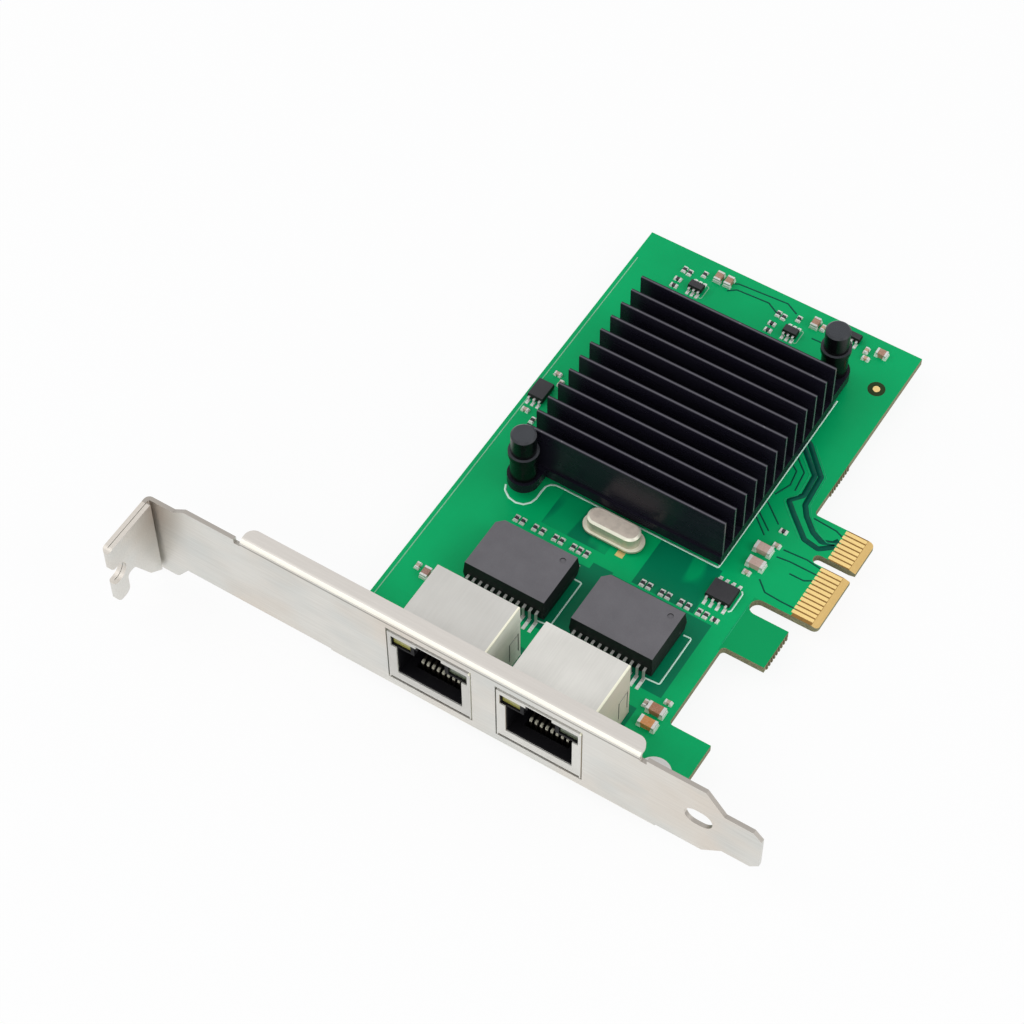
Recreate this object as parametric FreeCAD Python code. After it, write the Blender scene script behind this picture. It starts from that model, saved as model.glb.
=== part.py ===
import FreeCAD, Part
import math
import os

# Dual-port network interface card with its full-height bracket.
# Millimetres. +X runs from the board's plain edge to its edge connector, +Y runs
# away from the bracket, and +Z is the component side. The origin is the middle of
# the connector's key notch, at the finger edge and half way through the board.

# Board
board_thickness = 1.57
board_height = 68.9
board_reach = 107.5
board_gap = 1.7
key_to_bracket = 59.05
main_edge_inset = 12.0
inner_corner = 0.8
plain_x = -board_height
main_x = -main_edge_inset

# How far a cutting shape reaches past the solid that it cuts
cut_past = 1.0

# Edge contacts
contact_pitch = 1.0
contact_width = 0.7
contact_length = 4.2
contact_end_inset = 1.3
contact_thickness = 0.06
near_contacts = 11
far_contacts = 7
first_contact_offset = 1.5

# Finger tongue, key notch and the tabs beside it
tongue_near_margin = 1.0
tongue_far_margin = 0.6
tongue_near = first_contact_offset + contact_pitch * (near_contacts - 1) + tongue_near_margin
tongue_far = first_contact_offset + contact_pitch * (far_contacts - 1) + tongue_far_margin
key_width = 1.9
key_depth = 7.7
bevel_length = 1.2
bevel_depth = 0.35
hook_slot_width = 3.1
hook_slot_depth = 12.2
hook_tab_width = 8.5
low_tab_inset = 3.9
guard_tab_reach = 17.1

# Bracket sheet, held at its tongue end by the board's ears
bracket_sheet = 0.8
bracket_length = 120.0
tongue_end_x = 14.6
tab_outer_x = tongue_end_x - bracket_length
bracket_width = 18.42
bracket_low = -1.1
bend_inner = 0.3

# Bracket outline near the screw tab and at the tongue
shoulder_shift = 3.5
shoulder_top_drop = 1.7
shoulder_length = 4.6
shoulder_slope = 2.4
nick_width = 1.3
nick_depth = 1.0
tongue_length = 10.4
tongue_taper = 3.6
tongue_low_step = 3.0
tongue_high_step = 4.5
tongue_chamfer = 1.6
tongue_hole_inset = 11.4
tongue_hole_height = 8.3
tongue_hole_width = 4.2
tongue_hole_length = 5.2

# Hemmed screw tab
tab_reach = 12.4
hem_gap = 0.1
hem_end_gap = 0.7
notch_height = 8.0
notch_radius = 2.1
notch_depth = 3.4
hook_width = 3.3
hook_low = 0.5
crook_height = 5.0
crook_half_width = 1.0
web_reach = 3.6
web_height = 3.2

# Bracket flanges
flange_start_inset = 19.8
flange_start_x = tab_outer_x + flange_start_inset
flange_end_x = -8.0
flange_rise = 0.68
flange_top = bracket_low + bracket_width + flange_rise
flange_reach = 3.3
flange_corner = 1.8
rail_start_inset = 0.5
rail_start_x = plain_x + rail_start_inset
rail_end_x = -4.7
rail_reach = 2.6
ear_width = 8.2
ear_reach = 9.6
ear_corner = 2.0
ear_hole_reach = 6.7

# Bracket screws
screw_radius = 1.5
screw_clearance = 0.06
screw_board_clearance = 0.2
screw_tip = 1.4
screw_head_radius = 3.0
screw_head_height = 2.0
recess_length = 2.8
recess_width = 0.6
recess_depth = 1.1

# Jacks
jack_1_x = -48.2
jack_pitch = 21.3
jack_centres = [jack_1_x, jack_1_x + jack_pitch]
jack_width = 16.2
jack_height = 14.6
jack_front = 0.0
jack_rear = 15.45
jack_clearance = 0.06
shell_sheet = 0.25
aperture_gap = 0.25
aperture_top_gap = 0.8
aperture_low = 0.4
front_lip_height = 1.15
front_lip_reach = 1.1
leg_width = 1.4
leg_length = 3.0
leg_reach = 6.6
solder_gap = 0.05
spring_width = 2.4
spring_length = 5.0
spring_rear_wall = 0.85
spring_reach = jack_rear - spring_rear_wall - spring_width
spring_height = 2.2
spring_cut = 0.3

# Plug opening in a jack: heights run down from the jack's top, depths end before its rear
plug_width = 12.4
plug_floor = 3.35
plug_drop = 4.05
plug_top = jack_height - plug_drop
plug_rear_wall = 3.25
plug_depth = jack_rear - plug_rear_wall
latch_width = 6.0
latch_drop = 1.95
latch_top = jack_height - latch_drop
latch_key_width = 4.6
latch_key_drop = 0.55
latch_key_top = jack_height - latch_key_drop
window_inner = 3.7
window_side_wall = 0.8
window_outer = jack_width / 2 - window_side_wall
window_drop = 1.25
window_top = jack_height - window_drop
window_height = 2.4
window_floor = window_top - window_height
window_rear_wall = 2.25
window_depth = jack_rear - window_rear_wall
frame_margin = 0.2
lens_clearance = 0.05
lens_inset = 0.35

# Jack contact wires
wire_count = 8
wire_pitch = 1.02
wire_width = 0.45
wire_thickness = 0.3
wire_front = 3.45
wire_level = 1.5
wire_rise = 2.65
wire_tip_reach = 9.8
wire_tip_height = 5.1
tail_near_reach = 9.2
tail_row_step = 2.54
tail_length = 3.0
trough_half_width = 4.3
trough_floor = 1.0
tail_slot_half = 0.35

# Jack locating pegs
peg_radius = 1.55
peg_clearance = 0.08
peg_offset = 5.7
peg_rear_inset = 2.85
peg_reach = jack_rear - peg_rear_inset
peg_length = 2.6

# Transformer modules
module_shift = 0.1
module_centres = [centre - module_shift for centre in jack_centres]
module_length = 16.4
module_width = 11.5
module_reach = 28.75
module_top = 5.5
module_standoff = 0.3
module_seam = 2.6
module_draft = 0.25
module_corner = 1.2
dimple_radius = 0.55
dimple_depth = 0.2
dimple_inset = 2.1
module_pins = 12
module_pin_pitch = 1.27
module_pin_width = 0.45
module_pin_thickness = 0.22
module_pin_reach = 0.75
module_foot = 0.7

# Heatsink, between the transformer modules and the board's far edge
module_far_reach = module_reach + module_width / 2
heatsink_plain_inset = 9.25
heatsink_left_x = plain_x + heatsink_plain_inset
heatsink_length = 39.65
heatsink_module_gap = 13.4
heatsink_reach = module_far_reach + heatsink_module_gap
heatsink_far_margin = 19.4
heatsink_width = board_reach - heatsink_far_margin - heatsink_reach
heatsink_low = 2.0
heatsink_base = 2.2
heatsink_top = 13.6
fin_count = 12
fin_thickness = 0.6
fin_edge_inset = 0.4
fin_pitch = (heatsink_width - 2 * fin_edge_inset - fin_thickness) / (fin_count - 1)
ear_round = 3.0

# Push pins and their springs
pin_top = 15.5
pin_knob_radius = 2.3
pin_knob_height = 4.7
pin_knob_round = 0.35
pin_collar_radius = 2.8
pin_collar_height = 1.0
pin_fin_gap = 0.1
pin_sleeve_radius = 2.45
pin_sleeve_wall = 0.4
pin_shank_radius = 1.15
pin_hole_radius = 1.5
pin_prong_half = 0.9
pin_prong_depth = 1.4
pin_barb_half = 1.75
pin_barb_gap = 0.1
pin_barb_length = 2.6
pin_tip_half = 0.7
pin_slit = 0.5
spring_wire = 0.42
spring_turns = 3
spring_sides = 6
spring_side_gap = 0.08
spring_end_gap = 0.1
near_ear_inset = 1.4
near_ear_x = heatsink_left_x + near_ear_inset
near_ear_reach = heatsink_reach + fin_edge_inset - pin_collar_radius - pin_fin_gap
far_ear_inset = 3.3
far_ear_x = heatsink_left_x + heatsink_length - far_ear_inset
far_ear_overhang = 5.9
far_ear_reach = heatsink_reach + heatsink_width + far_ear_overhang

# Controller chip and pad, half way between the two pins
chip_side = 17.0
chip_centre_x = (near_ear_x + far_ear_x) / 2
chip_reach = (near_ear_reach + far_ear_reach) / 2
chip_height = 1.4

# Crystal
crystal_x = -39.4
crystal_can_length = 10.3
crystal_can_width = 3.9
crystal_top = 3.7
crystal_round = 0.4
crystal_rim_length = 11.9
crystal_rim_width = 4.8
crystal_rim_height = 0.45
crystal_base_height = 0.55
crystal_base_inset = 0.3
crystal_sink_gap = 0.75
crystal_reach = heatsink_reach - crystal_sink_gap - crystal_rim_width / 2

# Memory chip
memory_edge_inset = 5.2
memory_x = main_x - memory_edge_inset
memory_module_gap = 9.45
memory_reach = module_far_reach + memory_module_gap
memory_length = 4.9
memory_width = 3.9
memory_pins = 4
memory_pin_pitch = 1.27
memory_foot = 0.65

# Regulators near the board's far edge, each with three leads a side
regulator_1_x = -55.0
regulator_2_x = -35.1
regulator_centres = [regulator_1_x, regulator_2_x]
regulator_far_inset = 7.5
regulator_reach = board_reach - regulator_far_inset
regulator_length = 2.9
regulator_width = 1.6
regulator_pins = 3
regulator_pin_pitch = 0.95

# Small power parts
edge_part_inset = 2.4
edge_part_x = plain_x + edge_part_inset
edge_part_reach = 64.3
edge_part_length = 3.2
edge_part_width = 4.2
edge_part_height = 1.5
edge_part_pin_pitch = 1.1
corner_part_pin_offset = 1.4
corner_part_x = far_ear_x - corner_part_pin_offset
corner_part_far_inset = 2.5
corner_part_reach = board_reach - corner_part_far_inset
corner_part_length = 2.9
corner_part_width = 1.4
corner_part_pin_pitch = 0.95
small_part_pins = 3

# Thin leads of the small chips
chip_standoff = 0.15
small_chip_draft = 0.1
small_chip_height = 1.35
small_pin_width = 0.4
small_pin_thickness = 0.15
small_pin_reach = 0.45
small_foot = 0.5

# Surface-mount capacitors and resistors: length, width, height and end cap
large_size = (3.2, 1.7, 1.3, 0.55)
middle_size = (2.1, 1.35, 1.1, 0.4)
small_size = (1.25, 0.7, 0.6, 0.3)
resistor_size = (1.25, 0.7, 0.4, 0.3)
solder_film = 0.02

# Surface-mount parts as steps in x and reach from a corner that they belong to, and their long axis
memory_side_large = [(-3.7, 11.65, "x"), (-3.3, 8.35, "x")]
memory_side_small = [(-3.9, 6.15, "x"), (-2.2, 13.75, "x")]
memory_side_resistors = [(-2.7, 17.05, "x")]
bracket_side_large = [(-2.9, 17.9, "x"), (-2.8, 14.9, "x")]
bracket_side_small = [(-2.0, 20.4, "x"), (-5.2, 18.3, "y")]
plain_edge_middle = [(6.3, 20.6, "y")]
plain_edge_small = [(4.2, 21.3, "y")]
between_jacks_small = [(9.9, 18.0, "y"), (11.2, 18.9, "y")]
far_edge_middle = [(-52.6, -3.2, "y"), (-50.5, -3.2, "y"), (-32.2, -3.3, "y"), (-18.6, -3.2, "x")]
far_edge_small = [(-30.6, -3.4, "y"), (-21.4, -3.8, "y"), (-20.7, -5.5, "x")]
edge_part_small = [(0.4, 5.2, "x"), (1.9, 3.6, "y"), (-0.4, -4.7, "x")]
edge_part_resistors = [(1.9, -6.0, "y")]
regulator_resistors = [
    (-4.1, 2.8, "y"), (-2.9, 2.6, "y"), (-4.0, 0.2, "x"), (-3.9, -1.5, "x"), (-0.3, 3.7, "y"),
]
resistor_row_gap = 4.3
resistor_row_reach = module_far_reach + resistor_row_gap
resistor_row_x = [
    -55.6, -54.3, -51.8, -50.3, -47.7, -46.4, -44.0, -42.7, -41.3,
    -30.0, -28.7, -26.2, -24.9, -22.4, -21.0, -18.8, -17.5,
]
resistor_row_end_x = -15.7

board_top = board_thickness / 2
board_bottom = -board_thickness / 2


def from_bracket(reach):
    """Y of a place that lies the given distance behind the bracket's outer face."""
    return reach - key_to_bracket


def above(height):
    """Z of a place that lies the given height over the board's component face."""
    return board_top + height


def place(plane, u, v, offset):
    """Point of a drawing plane as a vector."""
    if plane == "xy":
        return FreeCAD.Vector(u, v, offset)
    if plane == "xz":
        return FreeCAD.Vector(u, offset, v)
    return FreeCAD.Vector(offset, u, v)


def outline(plane, corners, offset):
    """Closed wire through corners (u, v, radius), with an arc at each round corner."""
    starts = []
    ends = []
    middles = []
    for index, (u, v, radius) in enumerate(corners):
        here = FreeCAD.Vector(u, v, 0)
        before = FreeCAD.Vector(corners[index - 1][0], corners[index - 1][1], 0)
        following = corners[(index + 1) % len(corners)]
        after = FreeCAD.Vector(following[0], following[1], 0)
        if radius <= 0:
            starts.append(here)
            ends.append(here)
            middles.append(None)
            continue
        back = (before - here).normalize()
        ahead = (after - here).normalize()
        half_angle = back.getAngle(ahead) / 2
        run = radius / math.tan(half_angle)
        inward = (back + ahead).normalize()
        starts.append(here + back * run)
        ends.append(here + ahead * run)
        middles.append(here + inward * (radius / math.sin(half_angle) - radius))
    edges = []
    for index in range(len(corners)):
        if middles[index] is not None:
            points = [starts[index], middles[index], ends[index]]
            edges.append(Part.Arc(*[place(plane, p.x, p.y, offset) for p in points]).toShape())
        leave = place(plane, ends[index].x, ends[index].y, offset)
        following = starts[(index + 1) % len(corners)]
        arrive = place(plane, following.x, following.y, offset)
        if leave.distanceToPoint(arrive) > 1e-6:
            edges.append(Part.LineSegment(leave, arrive).toShape())
    return Part.Wire(edges)


def plate(plane, corners, start, thickness):
    """Solid plate: an outline in a plane, made thick along the plane's normal."""
    face = Part.Face(outline(plane, corners, start))
    return face.extrude(place(plane, 0, 0, thickness))


def box(x0, x1, y0, y1, z0, z1):
    """Box between two opposite corners."""
    return Part.makeBox(x1 - x0, y1 - y0, z1 - z0, FreeCAD.Vector(x0, y0, z0))


def rod(x, y, z0, z1, radius):
    """Upright cylinder."""
    return Part.makeCylinder(radius, z1 - z0, FreeCAD.Vector(x, y, z0))


def rectangle(u0, u1, v0, v1, radius):
    """Corners of a rectangle with equal round corners."""
    return [(u0, v0, radius), (u1, v0, radius), (u1, v1, radius), (u0, v1, radius)]


def joined(shapes):
    """One shape fused from several."""
    result = shapes[0].fuse(shapes[1:]) if len(shapes) > 1 else shapes[0]
    return result.removeSplitter()


def write(name, shapes):
    """Write one node: a single solid, or a group of separate solids."""
    solids = []
    for shape in shapes:
        solids.extend(shape.Solids)
    content = solids[0] if len(solids) == 1 else Part.makeCompound(solids)
    content.exportStep("parts/" + name + ".step")
    print(name, len(solids), round(content.Volume, 2), content.isValid())


def strip_outline(points, thickness):
    """Corners of a strip of even thickness along a bent path, mitred at each bend."""
    sides = ([], [])
    for index, (u, v) in enumerate(points):
        directions = []
        if index > 0:
            directions.append(unit(points[index - 1], (u, v)))
        if index < len(points) - 1:
            directions.append(unit((u, v), points[index + 1]))
        along_u = sum(d[0] for d in directions)
        along_v = sum(d[1] for d in directions)
        length = math.hypot(along_u, along_v)
        normal = (-along_v / length, along_u / length)
        first = directions[0]
        stretch = 1 / (normal[0] * -first[1] + normal[1] * first[0])
        step = thickness / 2 * stretch
        sides[0].append((u + normal[0] * step, v + normal[1] * step, 0))
        sides[1].append((u - normal[0] * step, v - normal[1] * step, 0))
    return sides[0] + sides[1][::-1]


def unit(start, end):
    """Unit direction between two points of a plane."""
    length = math.hypot(end[0] - start[0], end[1] - start[1])
    return ((end[0] - start[0]) / length, (end[1] - start[1]) / length)


# Board with its outline, key notch, bevelled finger edge and holes


def board_outline():
    low_x = -low_tab_inset
    near_y = from_bracket(board_gap)
    far_y = from_bracket(board_reach)
    guard_y = from_bracket(guard_tab_reach)
    slot_far_y = -tongue_near
    slot_near_y = slot_far_y - hook_slot_width
    hook_y = slot_near_y - hook_tab_width
    slot_round = hook_slot_width / 2
    return [
        (plain_x, near_y, 0),
        (low_x, near_y, 0),
        (low_x, guard_y, 0),
        (main_x, guard_y, inner_corner),
        (main_x, hook_y, inner_corner),
        (low_x, hook_y, 0),
        (low_x, slot_near_y, 0),
        (-hook_slot_depth, slot_near_y, slot_round),
        (-hook_slot_depth, slot_far_y, slot_round),
        (0, slot_far_y, inner_corner),
        (0, tongue_far, inner_corner),
        (main_x, tongue_far, inner_corner),
        (main_x, far_y, 0),
        (plain_x, far_y, 0),
    ]


def finger_bevels():
    """Two wedges that thin the finger edge on both faces."""
    past = 0.5
    slope = bevel_depth / bevel_length
    wedges = []
    for side in (1, -1):
        face_z = side * board_thickness / 2
        corners = [
            (-bevel_length, face_z, 0),
            (past, face_z - side * slope * (bevel_length + past), 0),
            (past, face_z + side * past, 0),
            (-bevel_length, face_z + side * past, 0),
        ]
        width = tongue_near + tongue_far + 2 * past
        wedges.append(plate("xz", corners, -tongue_near - past, width))
    return wedges


def screw_centres():
    """Centres of the two ears' screws."""
    reach_y = from_bracket(ear_hole_reach)
    return [(rail_start_x + ear_width / 2, reach_y), (rail_end_x - ear_width / 2, reach_y)]


def pin_centres():
    """Centres of the heatsink's two push pins."""
    return [(near_ear_x, from_bracket(near_ear_reach)), (far_ear_x, from_bracket(far_ear_reach))]


def wire_places(centre):
    """X and tail reach of each contact wire of a jack."""
    places = []
    for index in range(wire_count):
        x = centre + (index - (wire_count - 1) / 2) * wire_pitch
        tail = tail_near_reach + tail_row_step * (index % 2)
        places.append((x, tail))
    return places


def leg_places(centre):
    """Outer and inner X of the two shield legs of a jack."""
    half = jack_width / 2
    return [(centre - half, centre - half + shell_sheet), (centre + half - shell_sheet, centre + half)]


def board():
    blank = plate("xy", board_outline(), board_bottom, board_thickness)
    past = 0.5
    key_round = key_width / 2
    key = rectangle(-key_depth, past, -key_round, key_round, 0)
    key[0] = (-key_depth, -key_round, key_round)
    key[3] = (-key_depth, key_round, key_round)
    cuts = [plate("xy", key, board_bottom - past, board_thickness + 2 * past)]
    cuts.extend(finger_bevels())
    holes = []
    for x, y in screw_centres():
        holes.append((x, y, screw_radius + screw_board_clearance))
    for x, y in pin_centres():
        holes.append((x, y, pin_hole_radius))
    slots = []
    for centre in jack_centres:
        for x, tail in wire_places(centre):
            half = wire_width / 2
            slots.append((x - half, x + half, from_bracket(tail), wire_thickness / 2))
        for side in (-1, 1):
            holes.append((centre + side * peg_offset, from_bracket(peg_reach), peg_radius + peg_clearance))
        for x0, x1 in leg_places(centre):
            slots.append((x0, x1, from_bracket(leg_reach), leg_width / 2))
    for x, y, radius in holes:
        cuts.append(rod(x, y, board_bottom - past, board_top + past, radius))
    for x0, x1, y, half in slots:
        cuts.append(box(
            x0 - solder_gap, x1 + solder_gap, y - half - solder_gap, y + half + solder_gap,
            board_bottom - past, board_top + past,
        ))
    return blank.cut(cuts)


def contact_lines():
    """Y of every edge contact, on both sides of the key notch."""
    near = [-first_contact_offset - contact_pitch * index for index in range(near_contacts)]
    far = [first_contact_offset + contact_pitch * index for index in range(far_contacts)]
    return near + far


def edge_contacts(side):
    """Gold contacts on one face: side is 1 for the component face and -1 for the back."""
    outer_x = -contact_end_inset
    inner_x = outer_x - contact_length
    low = board_top if side > 0 else board_bottom - contact_thickness
    pads = []
    for y in contact_lines():
        half = contact_width / 2
        pads.append(box(inner_x, outer_x, y - half, y + half, low, low + contact_thickness))
    return pads


# Bracket: one folded sheet


def face_corners():
    """Outline of the bracket's face, seen along Y, from its low edge round."""
    low = above(bracket_low)
    high = low + bracket_width
    shoulder_x = tab_outer_x + shoulder_length
    neck_x = shoulder_x + shoulder_slope
    tab_low = low - shoulder_shift
    tab_high = high - shoulder_top_drop
    taper_x = tongue_end_x - tongue_length
    tongue_x = taper_x + tongue_taper
    chamfer_x = tongue_end_x - tongue_chamfer
    tongue_low = low + tongue_low_step
    tongue_high = high - tongue_high_step
    corners = [
        (tab_outer_x, tab_low, 0),
        (shoulder_x, tab_low, 1.5),
        (neck_x, low, 0),
        (taper_x, low, 0),
        (tongue_x, tongue_low, 0),
        (chamfer_x, tongue_low, 0),
        (tongue_end_x, tongue_low + tongue_chamfer, 0),
        (tongue_end_x, tongue_high - tongue_chamfer, 0),
        (chamfer_x, tongue_high, 0),
        (tongue_x, tongue_high, 0),
        (taper_x, high, 0),
    ]
    corners.extend(nick_corners(flange_end_x, high))
    corners.extend(nick_corners(flange_start_x - nick_width, high))
    corners.extend([
        (neck_x + shoulder_slope / 2, high, 0),
        (neck_x - shoulder_slope / 2, tab_high, 0),
        (tab_outer_x, tab_high, 0),
    ])
    return corners


def nick_corners(x, high):
    """Small square nick in the top edge beside an end of the folded flange."""
    floor = high - nick_depth
    return [(x + nick_width, high, 0), (x + nick_width, floor, 0), (x, floor, 0), (x, high, 0)]


def tab_corners():
    """Outline of the screw tab, seen along X, with room behind the face."""
    low = above(bracket_low) - shoulder_shift
    high = above(bracket_low) + bracket_width - shoulder_top_drop
    under = low - cut_past
    over = above(flange_top) + cut_past
    face_y = from_bracket(0)
    end_y = face_y - tab_reach
    behind_y = face_y + ear_reach + cut_past
    mouth_low = above(notch_height - notch_radius)
    mouth_high = above(notch_height + notch_radius)
    hook_y = end_y + hook_width
    crook_y = hook_y + 2 * crook_half_width
    crook_floor = above(crook_height)
    return [
        (behind_y, under, 0),
        (behind_y, over, 0),
        (face_y, over, 0),
        (face_y, high, 0),
        (end_y, high, 1.2),
        (end_y, mouth_high, 0.6),
        (end_y + notch_depth, mouth_high, notch_radius),
        (end_y + notch_depth, mouth_low, notch_radius),
        (end_y, mouth_low, 0),
        (end_y, above(hook_low), 1.3),
        (hook_y, above(hook_low), 1.3),
        (hook_y, crook_floor, crook_half_width),
        (crook_y, crook_floor, crook_half_width),
        (face_y - web_reach, low + web_height, 1.2),
        (face_y, low, 0),
        (face_y, under, 0),
    ]


def folded_corner():
    """The face and the tab's outer layer as one bent strip, with the hemmed inner layer."""
    face_y = from_bracket(0)
    end_y = face_y - tab_reach
    low = above(bracket_low) - shoulder_shift
    high = above(bracket_low) + bracket_width
    inner_x = tab_outer_x + bracket_sheet
    bend = [
        (tab_outer_x, end_y + bracket_sheet, 0),
        (inner_x, end_y + bracket_sheet, 0),
        (inner_x, face_y, bend_inner),
        (tongue_end_x, face_y, 0),
        (tongue_end_x, face_y + bracket_sheet, 0),
        (tab_outer_x, face_y + bracket_sheet, bend_inner + bracket_sheet),
    ]
    strip = plate("xy", bend, low, high - low)
    hem_x = inner_x + hem_gap + bracket_sheet
    hem_round = (hem_x - tab_outer_x) * 0.45
    hem = rectangle(tab_outer_x, hem_x, end_y, face_y - hem_end_gap, 0)
    hem[0] = (tab_outer_x, end_y, hem_round)
    hem[1] = (hem_x, end_y, hem_round)
    layers = plate("xy", hem, low, high - low)
    slit = box(inner_x, inner_x + hem_gap, end_y + bracket_sheet, face_y, low, high)
    return joined([strip, layers.cut(slit)])


def component_flange():
    """Stiffening flange folded over the jacks along the bracket's top edge."""
    face_y = from_bracket(0)
    top = above(flange_top)
    bend_outer = bend_inner + bracket_sheet
    start = above(bracket_low) + bracket_width - nick_depth - bend_outer
    profile = [
        (face_y, start, 0),
        (face_y + bracket_sheet, start, 0),
        (face_y + bracket_sheet, top - bracket_sheet, bend_inner),
        (face_y + flange_reach, top - bracket_sheet, 0),
        (face_y + flange_reach, top, 0),
        (face_y, top, bend_outer),
    ]
    strip = plate("yz", profile, flange_start_x, flange_end_x - flange_start_x)
    plan = [
        (flange_start_x, face_y - 1, 0),
        (flange_end_x, face_y - 1, 0),
        (flange_end_x, face_y + flange_reach, flange_corner),
        (flange_start_x, face_y + flange_reach, flange_corner),
    ]
    return strip.common(plate("xy", plan, start - 1, top - start + 2))


def solder_flange():
    """Rail along the bottom edge with two ears that lie under the board."""
    face_y = from_bracket(0)
    top = board_bottom
    bend_outer = bend_inner + bracket_sheet
    profile = [
        (face_y, top + bend_inner, 0),
        (face_y, top - bracket_sheet, bend_outer),
        (face_y + ear_reach, top - bracket_sheet, 0),
        (face_y + ear_reach, top, 0),
        (face_y + bracket_sheet, top, bend_inner),
        (face_y + bracket_sheet, top + 2 * bend_inner, 0),
        (face_y, top + 2 * bend_inner, 0),
    ]
    strip = plate("yz", profile, rail_start_x, rail_end_x - rail_start_x)
    ear_y = face_y + ear_reach
    rail_y = face_y + rail_reach
    inner_start = rail_start_x + ear_width
    inner_end = rail_end_x - ear_width
    plan = [
        (rail_start_x, face_y - 1, 0),
        (rail_end_x, face_y - 1, 0),
        (rail_end_x, ear_y, ear_corner),
        (inner_end, ear_y, ear_corner),
        (inner_end, rail_y, 0),
        (inner_start, rail_y, 0),
        (inner_start, ear_y, ear_corner),
        (rail_start_x, ear_y, ear_corner),
    ]
    return strip.common(plate("xy", plan, top - bracket_sheet - 1, bracket_sheet + 4))


def bracket():
    face_y = from_bracket(0)
    depth = tab_reach + ear_reach + 2
    folded = folded_corner()
    folded = folded.common(plate("xz", face_corners(), face_y - tab_reach - 1, depth))
    folded = folded.common(plate("yz", tab_corners(), tab_outer_x - 1, bracket_length + 2))
    sheet = joined([folded, component_flange(), solder_flange()])
    cuts = []
    half = jack_width / 2 + aperture_gap
    aperture_high = above(jack_height + aperture_top_gap)
    for centre in jack_centres:
        cuts.append(box(
            centre - half, centre + half, face_y - 1, face_y + bracket_sheet + 1,
            above(aperture_low), aperture_high,
        ))
    slot_x = tongue_end_x - tongue_hole_inset
    slot_z = above(tongue_hole_height)
    slot_half = tongue_hole_length / 2
    slot_round = tongue_hole_width / 2
    slot_low = slot_z - slot_round
    slot_high = slot_z + slot_round
    slot = rectangle(slot_x - slot_half, slot_x + slot_half, slot_low, slot_high, slot_round)
    cuts.append(plate("xz", slot, face_y - 1, bracket_sheet + 2))
    for x, y in screw_centres():
        hole_low = board_bottom - bracket_sheet - 1
        cuts.append(rod(x, y, hole_low, board_bottom + 0.2, screw_radius + screw_clearance))
    return sheet.cut(cuts)


def bracket_screws():
    """Pan-head screws from the component side down through the bracket's ears."""
    screws = []
    for x, y in screw_centres():
        tip_z = board_bottom - bracket_sheet - screw_tip
        shank = rod(x, y, tip_z, board_top, screw_radius)
        head = rod(x, y, board_top, board_top + screw_head_height, screw_head_radius)
        screw = joined([shank, head])
        half = recess_length / 2
        thin = recess_width / 2
        floor = board_top + screw_head_height - recess_depth
        over = board_top + screw_head_height + 1
        cross = [
            box(x - half, x + half, y - thin, y + thin, floor, over),
            box(x - thin, x + thin, y - half, y + half, floor, over),
        ]
        screws.append(screw.cut(cross))
    return screws


def top_edge(solid):
    """The edge that lies highest on a solid."""
    return max(solid.Edges, key=lambda edge: edge.BoundBox.ZMin)


# Network jacks


def frame_opening(centre, margin):
    """Outline of a jack's mouth: plug room, latch slot and the two lens windows."""
    plug = plug_width / 2 + margin
    window = window_outer + margin
    key = latch_key_width / 2 + margin
    floor = above(plug_floor - margin)
    sill = above(window_floor - margin)
    lintel = above(window_top + margin)
    top = above(latch_key_top + margin)
    right = [(plug, floor), (plug, sill), (window, sill), (window, lintel), (key, lintel), (key, top)]
    left = [(-u, v) for u, v in reversed(right)]
    return [(centre + u, v, 0) for u, v in right + left]


def jack_shell(centre):
    """Stamped shield with an open bottom, a framed mouth, side springs and two legs."""
    half = jack_width / 2
    front = from_bracket(jack_front)
    rear = from_bracket(jack_rear)
    low = board_top
    top = above(jack_height)
    sheet = shell_sheet
    room = half - sheet
    outer = box(centre - half, centre + half, front, rear, low, top)
    inner = box(centre - room, centre + room, front + sheet, rear - sheet, low - 1, top - sheet)
    mouth = plate("xz", frame_opening(centre, frame_margin), front - cut_past, sheet + 2 * cut_past)
    lip_z = above(front_lip_height)
    under_lip = box(centre - room, centre + room, front - 1, front + sheet + 1, low - 1, lip_z)
    sill_end = from_bracket(bracket_sheet + jack_clearance)
    sill_top = above(aperture_low + aperture_gap)
    over_sill = box(centre - half - 1, centre + half + 1, front - 1, sill_end, low - 1, sill_top)
    shell = outer.cut([inner, mouth, under_lip, over_sill])
    lip = box(centre - half, centre + half, front, front + front_lip_reach, lip_z, lip_z + sheet)
    shell = shell.fuse(lip)
    cuts = []
    spring_y = from_bracket(spring_reach)
    spring_low = above(spring_height)
    for side in (-1, 1):
        wall_x = centre + side * half - sheet * 2
        tongue = rectangle(spring_y, spring_y + spring_width, spring_low, spring_low + spring_length, 0)
        ring = rectangle(
            spring_y - spring_cut, spring_y + spring_width + spring_cut,
            spring_low, spring_low + spring_length + spring_cut, 0,
        )
        window = plate("yz", ring, wall_x, sheet * 4)
        cuts.append(window.cut(plate("yz", tongue, wall_x - 1, sheet * 4 + 2)))
    shell = shell.cut(cuts)
    leg_y = from_bracket(leg_reach)
    legs = []
    for x0, x1 in leg_places(centre):
        leg = [
            (leg_y - leg_width / 2, low + sheet, 0),
            (leg_y + leg_width / 2, low + sheet, 0),
            (leg_y + leg_width / 2, board_top - leg_length, 0.4),
            (leg_y - leg_width / 2, board_top - leg_length, 0.4),
        ]
        legs.append(plate("yz", leg, x0, x1 - x0))
    return joined([shell] + legs)


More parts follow.
